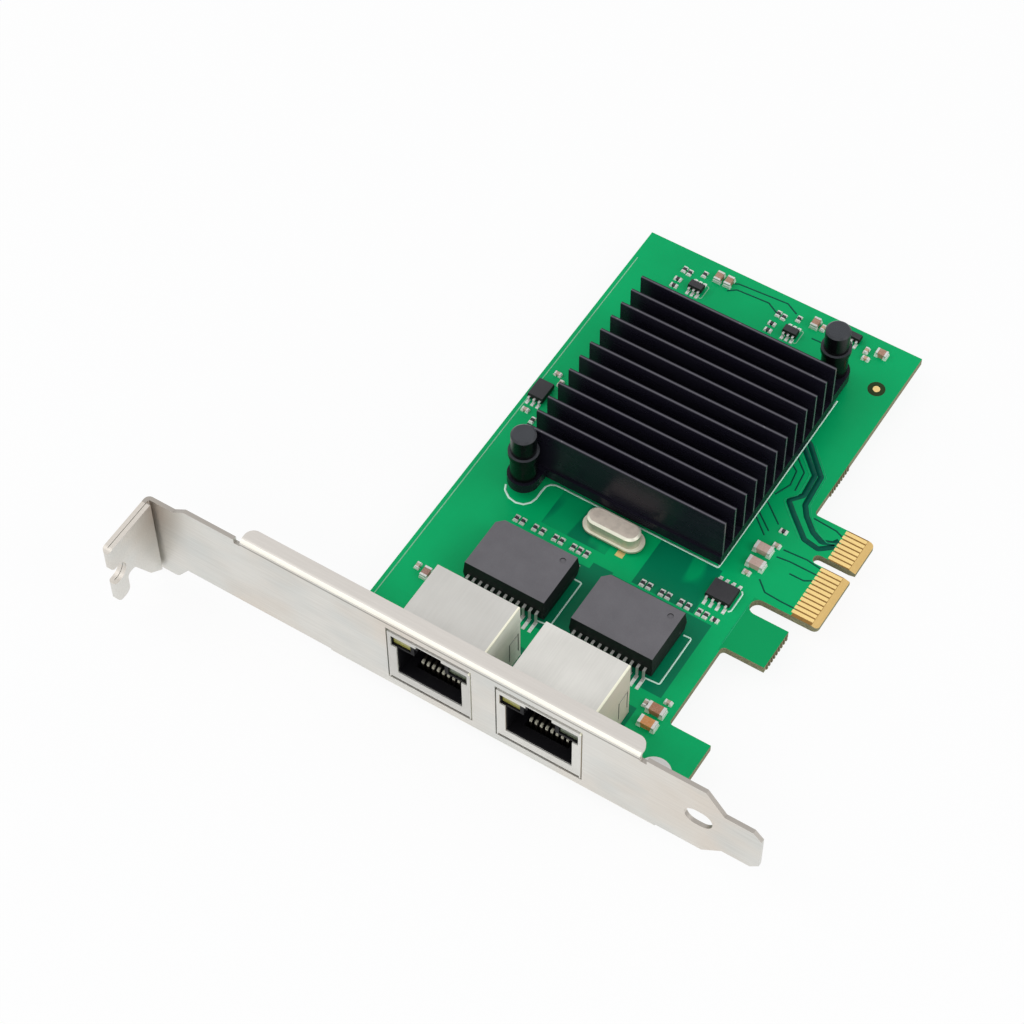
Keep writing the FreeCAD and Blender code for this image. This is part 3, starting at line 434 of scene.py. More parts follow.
@dataclass(frozen=True)
class FoldedSteel:
    """Nickel-plated sheet with darker cut edges, painted highlights on its outer bends, and painted shade
    under the long fold, on the up-facing face above it and towards the tab's inside corner.
    """

    name: str
    flange_x_mm: Place
    flange_top_mm: float
    bend_mm: float = 1.1
    crease_mm: float = 0.3
    hem_reach_mm: float = -0.9
    # The three corner ranges give where the painted shade towards the tab's inside corner ramps in, across x,
    # reach and height.
    corner_x_mm: Place = (-97.0, -103.0)
    corner_reach_mm: Place = (-7.0, -1.0)
    corner_z_mm: Place = (0.0, 12.0)
    face: Colour = srgb(223, 221, 215)
    warm: Colour = srgb(219, 209, 197)
    cool: Colour = srgb(208, 211, 208)
    # Painted shade towards the tab's inside corner.
    corner_shade: Colour = srgb(182, 170, 158)
    # Painted shade on the up-facing top above the long fold.
    flange_top_shade: Colour = srgb(212, 207, 201)
    # Painted highlight on the outer bends.
    bend_highlight: Colour = srgb(255, 252, 240)
    # Painted shade along the front face just under the long fold.
    crease_shade: Colour = srgb(136, 131, 122)
    edge: Colour = srgb(162, 156, 149)
    hem: Colour = srgb(214, 207, 198)

    def build(self) -> bpy.types.Material:
        """Build the material.

        Returns:
            The material.
        """
        graph = ShaderGraph(self.name)
        x, y, z = graph.axes()
        _, out, up = graph.facing()
        grain = graph.noise(0.3, 3.0, (0.04, 1.0, 1.0))
        cloud = graph.noise(16.0)
        patch = graph.noise(11.0, 1.0, (1.0, 1.0, 1.6))
        inside = x.between(*self.flange_x_mm)
        fold_z = self.flange_top_mm - self.bend_mm
        colour = graph.blend(cloud.ramp(0.4, 0.66) * 0.7, self.face, self.warm)
        colour = graph.blend(patch.ramp(0.45, 0.7) * 0.6, colour, self.cool)
        # Painted shade: the front face and the tab's inner face darken towards the tab's inside corner, more
        # so higher up.
        corner = x.ramp(*self.corner_x_mm) * y.ramp(*map(along, self.corner_reach_mm))
        colour = graph.blend(corner * z.ramp(*self.corner_z_mm) * 0.7, colour, self.corner_shade)
        # Painted shade: up-facing faces above the long fold take a darker colour than the front face.
        colour = graph.blend(up.over(0.9) * z.over(fold_z), colour, self.flange_top_shade)
        cut = graph.blend(y.under(along(self.hem_reach_mm)), self.edge, self.hem)
        colour = graph.blend(up.over(0.3) * (1 - inside) * 0.85, colour, cut)
        # Painted highlight: the up-slanting faces of the long fold's outer curve, and every down-slanting
        # face, take the near-white highlight colour; the metallic is lowered on the long fold's curve.
        bend_highlight_mask = up.between(0.12, 0.9) * z.over(fold_z) * inside
        colour = graph.blend(bend_highlight_mask.either(up.between(-0.9, -0.2)) * 0.9, colour, self.bend_highlight)
        # Painted shade: a narrow band of the front face just under the long fold is darkened.
        creased = out.under(-0.95) * z.between(fold_z - self.crease_mm, fold_z + 0.08) * inside
        colour = graph.blend(creased * 0.75, colour, self.crease_shade)
        colour = graph.blend(grain.ramp(*GRAIN) * 0.1, colour, self.edge)
        roughness = grain.ramp(*SOFT) * 0.1 + cloud * 0.1 + 0.32
        return graph.close(colour, roughness, Metallic=bend_highlight_mask * -0.35 + 0.8, Normal=graph.bump(grain, 0.003))


@dataclass(frozen=True)
class SolderMask:
    """The circuit board: green mask on both faces, amber round the fingers, bare fibre on the cut edges."""

    name: str = "green_mask"
    green: Colour = srgb(0, 178, 106)
    deep: Colour = srgb(0, 158, 92)
    bare: Colour = srgb(0, 92, 74)
    gap: Colour = srgb(150, 112, 58)
    gap_dark: Colour = srgb(112, 84, 42)
    bevel: Colour = srgb(226, 190, 122)
    fibre: Colour = srgb(160, 156, 122)
    fibre_dark: Colour = srgb(104, 104, 84)
    finger_x_mm: float = -5.2
    bevel_x_mm: float = -1.25
    tongue_mm: Place = (-12.7, 8.3)
    hook_x_mm: float = -12.3
    hook_reach_mm: Place = (34.0, 46.5)
    bare_zones: tuple[Zone, ...] = (
        (-56.8, -38.6, 21.4, 36.6), (-39.4, -35.4, 17.0, 38.0), (-36.8, -15.6, 20.6, 37.6),
        (-57.0, -18.0, 1.7, 16.8),
    )
    pour_zones: tuple[Zone, ...] = ((-51.6, -38.6, 40.4, 48.3), (-31.8, -19.6, 38.0, 48.3))

    def build(self) -> bpy.types.Material:
        """Build the material.

        Returns:
            The material.
        """
        graph = ShaderGraph(self.name)
        x, y, _ = graph.axes()
        _, _, up = graph.facing()
        face = up.size().over(0.6)
        pours = graph.noise(3.2, 0.0, (1.0, 0.3, 1.0)).ramp(0.4, 0.5) * 0.6 + 0.4
        zones = covered(x, y, self.bare_zones).either(covered(x, y, self.pour_zones) * pours)
        weave = graph.noise(0.5, 1.0, (1.0, 0.08, 1.0)).either(graph.noise(0.5, 1.0, (0.08, 1.0, 1.0)))
        green = graph.blend(graph.noise(14.0, 3.0).ramp(*CLOUD) * 0.6, self.green, self.deep)
        green = graph.blend(weave.ramp(0.55, 0.8) * 0.12, green, self.deep)
        hook = x.over(self.hook_x_mm) * y.between(*map(along, self.hook_reach_mm))
        green = graph.blend(hook, green, self.deep)
        green = graph.blend(zones * up.over(0.6) * 0.72, green, self.bare)
        tongue = y.between(*self.tongue_mm)
        gaps = graph.blend(weave.ramp(0.5, 0.8) * 0.5, self.gap, self.gap_dark)
        green = graph.blend(x.over(self.finger_x_mm) * tongue, green, gaps)
        green = graph.blend(x.over(self.bevel_x_mm) * tongue * (weave * 0.25 + 0.8), green, self.bevel)
        strands = graph.noise(0.3, 3.0, (1.0, 1.0, 3.0))
        fibre = graph.blend(strands.ramp(*GRAIN), self.fibre, self.fibre_dark)
        height = weave * face + strands * (1 - face)
        return graph.close(
            graph.blend(face, fibre, green), face * -0.4 + weave * 0.08 + 0.72, Coat_Weight=face * 0.06,
            Coat_Roughness=0.2, Normal=graph.bump(height, 0.005), Specular_IOR_Level=0.08,
        )


@dataclass(frozen=True)
class BlackAnodise:
    """Black fins with random lighter streaks. Their tops and right ends are painted a little lighter, as
    painted light, and carry a painted grey highlight stripe along their middles.
    """

    floor_mm: float
    name: str = "black_anodise"
    black: Colour = srgb(23, 21, 32)
    # The lighter black, used both for random streaks and as painted light on the fins' tops and right ends.
    streaked_and_lit: Colour = srgb(34, 33, 41)
    # edge is the grey of the painted highlight stripe on the fins' tops and ends; the next colour is its
    # brighter painted glints at random spots.
    edge: Colour = srgb(98, 96, 103)
    bright_glint: Colour = srgb(176, 172, 176)
    first_fin_reach: float = 48.6
    fin_pitch: float = 3.527
    line_mm: float = 0.15

    def build(self) -> bpy.types.Material:
        """Build the material.

        Returns:
            The material.
        """
        graph = ShaderGraph(self.name)
        _, y, z = graph.axes()
        side, _, up = graph.facing()
        streaks = graph.noise(0.6, 3.0, (0.06, 1.0, 0.25))
        glint_noise = graph.noise(1.6, 4.0)
        # The painted highlight stripe runs within line_mm of each fin's middle plane.
        line = y.off_nearest(along(self.first_fin_reach), self.fin_pitch).under(self.line_mm)
        # worn marks the fins' up-facing tops and right ends above the base. They are painted a little
        # lighter, as painted light, and take the painted highlight stripe.
        worn = z.over(self.floor_mm) * up.either(side).over(0.6)
        black = graph.blend(streaks.ramp(*WIDE) * 0.6, self.black, self.streaked_and_lit)
        black = graph.blend(worn, black, self.streaked_and_lit)
        edge = graph.blend(glint_noise.ramp(0.66, 0.76) * 0.6, self.edge, self.bright_glint)
        colour = graph.blend(worn * line * (glint_noise * 0.3 + 0.7), black, edge)
        roughness = streaks * 0.14 + 0.2
        return graph.close(colour, roughness, Normal=graph.bump(streaks, 0.004), Specular_IOR_Level=0.13)


@dataclass(frozen=True)
class PairedLens:
    """Two tinted lenses of one port: the tint changes at the port's middle."""

    name: str
    middle_x_mm: float
    left: Colour = srgb(146, 142, 62)
    right: Colour = srgb(68, 78, 60)
    haze: Colour = srgb(160, 168, 138)

    def build(self) -> bpy.types.Material:
        """Build the material.

        Returns:
            The material.
        """
        graph = ShaderGraph(self.name)
        x, _, _ = graph.axes()
        haze = graph.noise(0.8)
        colour = graph.blend(x.over(self.middle_x_mm), self.left, self.right)
        colour = graph.blend(haze.ramp(*WIDE) * 0.22, colour, self.haze)
        return graph.close(colour, haze * 0.1 + 0.22, Coat_Weight=0.25, Coat_Roughness=0.1)


@dataclass(frozen=True)
class SpringWire:
    """Plated contact wires with a painted highlight at their bends up into the port, and painted shade below.
    """

    name: str
    highlight_z_mm: float
    highlight_reach_mm: Place = (3.95, 3.6)
    # Painted highlight colour, then the painted shade that the rest of each wire takes.
    bright: Colour = srgb(240, 236, 214)
    inner_shade: Colour = srgb(26, 22, 18)

    def build(self) -> bpy.types.Material:
        """Build the material.

        Returns:
            The material.
        """
        graph = ShaderGraph(self.name)
        _, y, z = graph.axes()
        grain = graph.noise(0.15, 2.0, (1.0, 0.1, 1.0))
        # Painted highlight: above a height and within a band of reach; the rest of each wire takes the
        # painted shade.
        high = z.ramp(self.highlight_z_mm - 0.5, self.highlight_z_mm - 0.2)
        highlight_mask = high * y.ramp(*map(along, self.highlight_reach_mm))
        colour = graph.blend(highlight_mask * (grain * 0.2 + 0.85), self.inner_shade, self.bright)
        return graph.close(
            colour, grain * 0.12 + highlight_mask * -0.16 + 0.4, Metallic=highlight_mask * 0.25, Normal=graph.bump(grain, 0.002),
            Specular_IOR_Level=0.2,
        )


@dataclass(frozen=True)
class JackShield:
    """Tinned shield of one jack, with a painted highlight along its right top edge where the sheet folds
    down, and its right-facing side painted in its own light and shade.
    """

    name: str
    right_x_mm: float
    top_z_mm: float
    top: Colour
    # Painted light and shade on the right-facing side.
    side_shading: Colour
    bend_highlight: Colour = srgb(252, 249, 226)
    stain: Colour = srgb(184, 182, 176)
    bend_mm: float = 0.34

    def build(self) -> bpy.types.Material:
        """Build the material.

        Returns:
            The material.
        """
        graph = ShaderGraph(self.name)
        x, _, z = graph.axes()
        side, _, _ = graph.facing()
        grain = graph.noise(0.3, 3.0, (1.0, 0.05, 1.0))
        cloud = graph.noise(8.0)
        # Painted highlight along the right top edge, where the sheet folds down.
        bend_highlight_mask = x.over(self.right_x_mm - self.bend_mm) * z.over(self.top_z_mm - self.bend_mm)
        # right marks the right-facing sides, which take the painted side colour in place of the top's colour
        # and are less metallic.
        right = side.ramp(*SOFT)
        colour = graph.blend(right, self.top, self.side_shading)
        colour = graph.blend(cloud.ramp(*SOFT) * 0.3 + grain.ramp(*GRAIN) * 0.12, colour, self.stain)
        colour = graph.blend(bend_highlight_mask, colour, self.bend_highlight)
        roughness = grain * 0.14 + cloud * 0.08 + 0.34
        metallic = bend_highlight_mask.either(right) * -0.5 + 0.55
        return graph.close(colour, roughness, Metallic=metallic, Normal=graph.bump(grain, 0.003))


@dataclass(frozen=True)
class DrawnCan:
    """The crystal's case: satin top, sides painted in a shade of their own, and painted highlights where it
    curves over and round its foot.
    """

    name: str
    foot_z_mm: float
    top: Colour = srgb(232, 219, 204)
    side_shading: Colour = srgb(204, 200, 176)
    bend_highlight: Colour = srgb(255, 253, 232)
    stain: Colour = srgb(172, 160, 146)

    def build(self) -> bpy.types.Material:
        """Build the material.

        Returns:
            The material.
        """
        graph = ShaderGraph(self.name)
        _, _, z = graph.axes()
        _, _, up = graph.facing()
        grain = graph.noise(1.2, 3.0)
        # Painted highlights on the curve over the top and on up-facing faces at the foot.
        highlight_rims = up.between(0.2, 0.75).either(z.under(self.foot_z_mm) * up.over(0.5))
        # The sides take a duller, yellower painted shade; the top keeps its satin colour.
        colour = graph.blend(up.ramp(*WIDE), self.side_shading, self.top)
        colour = graph.blend(grain.ramp(0.4, 0.7) * 0.35, colour, self.stain)
        colour = graph.blend(highlight_rims * 0.85, colour, self.bend_highlight)
        metallic = highlight_rims * -0.1 + 0.28
        return graph.close(colour, grain * 0.16 + 0.24, Metallic=metallic, Normal=graph.bump(grain, 0.003))


@dataclass(frozen=True)
class Ceramic:
    """Fired ceramic whose tint differs along the board: each tint has its nearest and farthest reach."""

    name: str
    tints: tuple[tuple[float, float, Colour], ...]
    base: Colour
    speck: Colour = srgb(236, 222, 205)
    roughness: float = 0.42

    def build(self) -> bpy.types.Material:
        """Build the material.

        Returns:
            The material.
        """
        graph = ShaderGraph(self.name)
        _, y, _ = graph.axes()
        specks = graph.noise(0.18)
        colour = self.base
        for near, far, tint in self.tints:
            colour = graph.blend(y.between(along(near), along(far)), colour, tint)
        colour = graph.blend(specks.ramp(0.4, 0.75) * 0.25, colour, self.speck)
        return graph.close(colour, specks * 0.15 + self.roughness, Normal=graph.bump(specks, 0.004))


class Finish(Enum):
    """Finishes that more than one piece takes, or that a piece takes whole."""

    SCREW = SheetMetal("zinc_screw", srgb(205, 205, 203), 0.34, 0.95, 0.2, EVEN, 0.08)
    TIN = SheetMetal("tinned_lead", srgb(226, 226, 222), 0.3, 0.35, 0.2, EVEN, 0.1)
    SOLDER = SheetMetal("solder_fillet", srgb(244, 248, 242), 0.26, 0.22, 0.5, EVEN, 0.07)
    # LEG is the tinned metal painted darker, as shade under the modules' bodies.
    LEG = SheetMetal("module_leg", srgb(188, 188, 183), 0.32, 0.35, 0.2, EVEN, 0.1)
    GOLD = SheetMetal("gold_plate", srgb(255, 221, 146), 0.34, 0.5, 0.2, (0.1, 1.0, 1.0), 0.06)
    SPRING = SheetMetal("spring_wire", srgb(150, 150, 150), 0.35, 0.9)
    BLACK = Moulding("dark_glass", srgb(14, 14, 16), srgb(26, 26, 29), 0.45)
    HOUSING = Moulding("jack_plastic", srgb(5, 4, 8), srgb(12, 11, 15), 0.6, specular=0.2)
    # PIN, MODULE and CHIP: their much darker side colours are painted shade, and the PIN and MODULE tops are
    # lighter, as painted sheen.
    PIN = Moulding("pin_plastic", srgb(60, 62, 66), srgb(73, 75, 79), 0.26, 0.1, 0.003, srgb(9, 10, 12), 0.16)
    MODULE = Moulding(
        "grey_moulding", srgb(100, 98, 102), srgb(116, 114, 118), 0.56, sides=srgb(17, 17, 19), specular=0.25,
    )
    CHIP = Moulding(
        "dark_moulding", srgb(50, 49, 52), srgb(68, 67, 70), 0.52, sides=srgb(20, 20, 22), specular=0.3,
    )
    PAD = Moulding("soft_pad", srgb(150, 152, 156), srgb(170, 172, 176), 0.8, 0.4, 0.01)
    PRINT = Moulding("white_print", srgb(224, 255, 241), srgb(206, 248, 226), 0.6, 0.2, 0.004, specular=0.1)
    FAINT_PRINT = Moulding(
        "faint_print", srgb(150, 206, 172), srgb(112, 190, 146), 0.6, 0.5, 0.004, specular=0.1,
    )
    TRACE = Moulding("covered_trace", srgb(0, 88, 70), srgb(0, 74, 60), 0.4, 0.8, 0.002, specular=0.1)
    RIDGE = Moulding("raised_trace", srgb(40, 178, 120), srgb(10, 160, 98), 0.4, 0.8, 0.002, specular=0.1)
    SOCKET = Moulding("dark_ring", srgb(48, 66, 34), srgb(30, 50, 26), 0.4, specular=0.1)
    NUB = Moulding("broken_fibre", srgb(136, 126, 94), srgb(84, 84, 60), 0.9, 0.3, 0.03)

    def material(self) -> bpy.types.Material:
        """The finish's material, built on first use."""
        return bpy.data.materials.get(self.value.name) or self.value.build()


# Geometry graphs


class GeometryGraph:
    """A node tree that makes repeated or swept pieces."""

    def __init__(self, name: str, sizes: dict[str, Number]) -> None:
        """Start a tree with named inputs.

        Args:
            name: the tree's name.
            sizes: default of each number that the tree takes; a whole number makes a count.
        """
        self.tree = bpy.data.node_groups.new(name, "GeometryNodeTree")
        face = self.tree.interface
        face.new_socket("Geometry", in_out="INPUT", socket_type="NodeSocketGeometry")
        for key, default in sizes.items():
            kind = "NodeSocketInt" if isinstance(default, int) else "NodeSocketFloat"
            face.new_socket(key, in_out="INPUT", socket_type=kind).default_value = default
        face.new_socket("Material", in_out="INPUT", socket_type="NodeSocketMaterial")
        face.new_socket("Geometry", in_out="OUTPUT", socket_type="NodeSocketGeometry")
        self.inputs = self.tree.nodes.new("NodeGroupInput")

    def value(self, name: str) -> bpy.types.NodeSocket:
        """One of the tree's own inputs."""
        return self.inputs.outputs[name]

    def node(self, kind: str, settings: dict | None = None, inputs: dict | None = None,
             output: int | str = 0) -> bpy.types.NodeSocket:
        """Add any node.

        Args:
            kind: the node's type name.
            settings: properties set first.
            inputs: values or sockets by name or number.
            output: name or number of the socket that is read.

        Returns:
            That output socket.
        """
        return add_node(self.tree, kind, settings, inputs).outputs[output]

    def close(self, geometry: bpy.types.NodeSocket) -> bpy.types.NodeTree:
        """End the tree in Realize Instances and Set Material.

        Args:
            geometry: what the tree has made.

        Returns:
            The finished tree.
        """
        real = self.node("GeometryNodeRealizeInstances", inputs={0: geometry})
        inputs = {"Geometry": real, "Material": self.value("Material")}
        dressed = self.node("GeometryNodeSetMaterial", inputs=inputs)
        end = self.tree.nodes.new("NodeGroupOutput")
        self.tree.links.new(dressed, end.inputs[0])
        return self.tree


class Grower:
    """Turns points and paths into plain meshes through the card's geometry trees."""

    def __init__(self) -> None:
        """Build the trees once."""
        self.ribbons = self._ribbon_tree()
        self.mounds = self._mound_tree()

    @staticmethod
    def _ribbon_tree() -> bpy.types.NodeTree:
        """A flat strip with round corners along a path, for print and traces.

        Returns:
            The tree.
        """
        sizes = {"Width": 0.2 * MM, "Thickness": 0.02 * MM, "Corner": 0.3 * MM}
        graph = GeometryGraph("flat_strip", sizes)
        path = graph.node("GeometryNodeMeshToCurve", inputs={0: graph.value("Geometry")})
        smooth = graph.node(
            "GeometryNodeFilletCurve", {"mode": "POLY"},
            {"Curve": path, "Count": 4, "Radius": graph.value("Corner"), "Limit Radius": True},
        )
        level = graph.node("GeometryNodeSetCurveNormal", {"mode": "Z_UP"}, {"Curve": smooth})
        section = graph.node(
            "GeometryNodeCurvePrimitiveQuadrilateral",
            inputs={"Width": graph.value("Width"), "Height": graph.value("Thickness")},
        )
        inputs = {"Curve": level, "Profile Curve": section, "Fill Caps": True}
        return graph.close(graph.node("GeometryNodeCurveToMesh", inputs=inputs))

    @staticmethod
    def _mound_tree() -> bpy.types.NodeTree:
        """A low mound on each point, scaled by the point's size, for solder, pads, dots and nubs.

        Returns:
            The tree.
        """
        graph = GeometryGraph("low_mounds", {"Sides": 4, "Top share": 0.7, "Turn": 0.0})
        bottom = math.sqrt(0.5)
        shares = {0: graph.value("Top share"), 1: bottom}
        top = graph.node("ShaderNodeMath", {"operation": "MULTIPLY"}, shares)
        cone = graph.node(
            "GeometryNodeMeshCone", {"fill_type": "NGON"},
            {"Vertices": graph.value("Sides"), "Radius Top": top, "Radius Bottom": bottom, "Depth": 1.0},
            "Mesh",
        )
        turn = graph.node("ShaderNodeCombineXYZ", inputs={"X": graph.value("Turn"), "Z": math.pi / 4})
        turned = graph.node("GeometryNodeTransform", inputs={"Geometry": cone, "Rotation": turn})
        size = graph.node("GeometryNodeInputNamedAttribute", {"data_type": "FLOAT_VECTOR"}, {"Name": "size"})
        inputs = {"Points": graph.value("Geometry"), "Instance": turned, "Scale": size}
        return graph.close(graph.node("GeometryNodeInstanceOnPoints", inputs=inputs))

    @staticmethod
    def _grow(name: str, mesh: bpy.types.Mesh, tree: bpy.types.NodeTree, values: dict) -> bpy.types.Object:
        """Run a tree on a mesh and keep the result as a plain mesh.

        Args:
            name: the piece's name.
            mesh: the points or paths that the tree takes.
            tree: the tree.
            values: the tree's inputs by name.

        Returns:
            The piece.
        """
        source = bpy.data.objects.new(name + "_source", mesh)
        bpy.context.scene.collection.objects.link(source)
        modifier = source.modifiers.new("grow", "NODES")
        modifier.node_group = tree
        sockets = [item for item in tree.interface.items_tree if item.in_out == "INPUT"]
        identifiers = {item.name: item.identifier for item in sockets}
        for key, value in values.items():
            modifier[identifiers[key]] = value
        graph = bpy.context.evaluated_depsgraph_get()
        grown = bpy.data.meshes.new_from_object(source.evaluated_get(graph), depsgraph=graph)
        source.modifiers.remove(modifier)
        bpy.data.objects.remove(source)
        made = bpy.data.objects.new(name, grown)
        grown.name = name
        bpy.context.scene.collection.objects.link(made)
        return made

    def strips(self, name: str, paths: Sequence[Sequence[Place]], z_mm: float, width_mm: float,
               finish: Finish, thickness_mm: float = 0.03, corner_mm: float = 0.3,
               slot: str = "solder_mask") -> bpy.types.Object:
        """Lay flat strips on the board.

        Args:
            name: the piece's name.
            paths: each path's places.
            z_mm: height of the strips' middle.
            width_mm: strip width.
            finish: their finish.
            thickness_mm: strip thickness.
            corner_mm: radius of their corners.
            slot: a material slot name, passed on to _ride.

        Returns:
            The piece.
        """
        points: list[Triple] = []
        edges: list[tuple[int, int]] = []
        for path in paths:
            first = len(points)
            points.extend(metres(x, along(reach), z_mm) for x, reach in path)
            edges.extend((first + step, first + step + 1) for step in range(len(path) - 1))
        mesh = bpy.data.meshes.new(name + "_paths")
        mesh.from_pydata(points, edges, [])
        values = {
            "Width": width_mm * MM, "Thickness": thickness_mm * MM, "Corner": corner_mm * MM,
            "Material": finish.material(),
        }
        return self._ride(self._grow(name, mesh, self.ribbons, values), slot)

    def mounds_on(self, name: str, places: Sequence[Triple], sizes: Sequence[Triple], finish: Finish,
                  sides: int = 4, top_share: float = 0.7, below: bool = False,
                  slot: str = "tin") -> bpy.types.Object:
        """Stand a low mound on each place.

        Args:
            name: the piece's name.
            places: x, y and z of each foot in metres.
            sizes: x, y and z size of each mound in metres.
            finish: their finish.
            sides: number of sides of each mound.
            top_share: width of the top as a share of the foot.
            below: True hangs them under a face.
            slot: a material slot name, passed on to _ride.

        Returns:
            The piece.
        """
        mesh = bpy.data.meshes.new(name + "_points")
        mesh.from_pydata([tuple(place) for place in places], [], [])
        attribute = mesh.attributes.new("size", "FLOAT_VECTOR", "POINT")
        attribute.data.foreach_set("vector", np.asarray(sizes, dtype=np.float32).ravel())
        values = {
            "Sides": sides, "Top share": top_share, "Turn": math.pi if below else 0.0,
            "Material": finish.material(),
        }
        return self._ride(self._grow(name, mesh, self.mounds, values), slot)

    @staticmethod
    def _ride(piece: bpy.types.Object, slot: str) -> bpy.types.Object:
        """Let a piece ride on the card.

        Args:
            piece: the piece.
            slot: not used.

        Returns:
            The same piece.
        """
        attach(piece, "root")
        logger.info("added %s, %d faces", piece.name, len(piece.data.polygons))
        return piece


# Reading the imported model


def node(name: str) -> bpy.types.Object:
    """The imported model's object of that name."""
    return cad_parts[name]


def board_faces() -> Place:
    """Heights of the board's far face and its component face, in metres."""
    low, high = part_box("board")
    return low[2], high[2]


def dress(material: bpy.types.Material, *names: str) -> None:
    """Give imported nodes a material.

    Args:
        material: the material.
        names: the nodes.
    """
    for name in names:
        for slot in node(name).material_slots:
            slot.material = material
    logger.info("dressed %s in %s", ", ".join(names), material.name)


def separate_boxes(name: str) -> list[tuple[Vector, Vector]]:
    """Box of each separate solid in a node.

    Args:
        name: the node.

    Returns:
        Lowest and highest corner of each solid, in metres.
    """
    mesh = node(name).data
    corners = np.empty(len(mesh.vertices) * 3)
    mesh.vertices.foreach_get("co", corners)
    corners = corners.reshape(-1, 3)
    _, welded = np.unique(np.round(corners * 2e6).astype(np.int64), axis=0, return_inverse=True)
    welded = welded.ravel()
    group = np.arange(welded.max() + 1)

    def root(item: int) -> int:
        """First member of an item's group.

        Args:
            item: number of a welded corner.

        Returns:
            Number of that first member.
        """
        while group[item] != item:
            group[item] = group[group[item]]
            item = group[item]
        return item

    for polygon in mesh.polygons:
        members = [root(welded[index]) for index in polygon.vertices]
        for member in members[1:]:
            group[member] = members[0]
    roots = np.array([root(item) for item in welded])
    boxes = []
    for first in np.unique(roots):
        chosen = corners[roots == first]
        boxes.append((Vector(chosen.min(axis=0)), Vector(chosen.max(axis=0))))
    return boxes


# Sub-assemblies


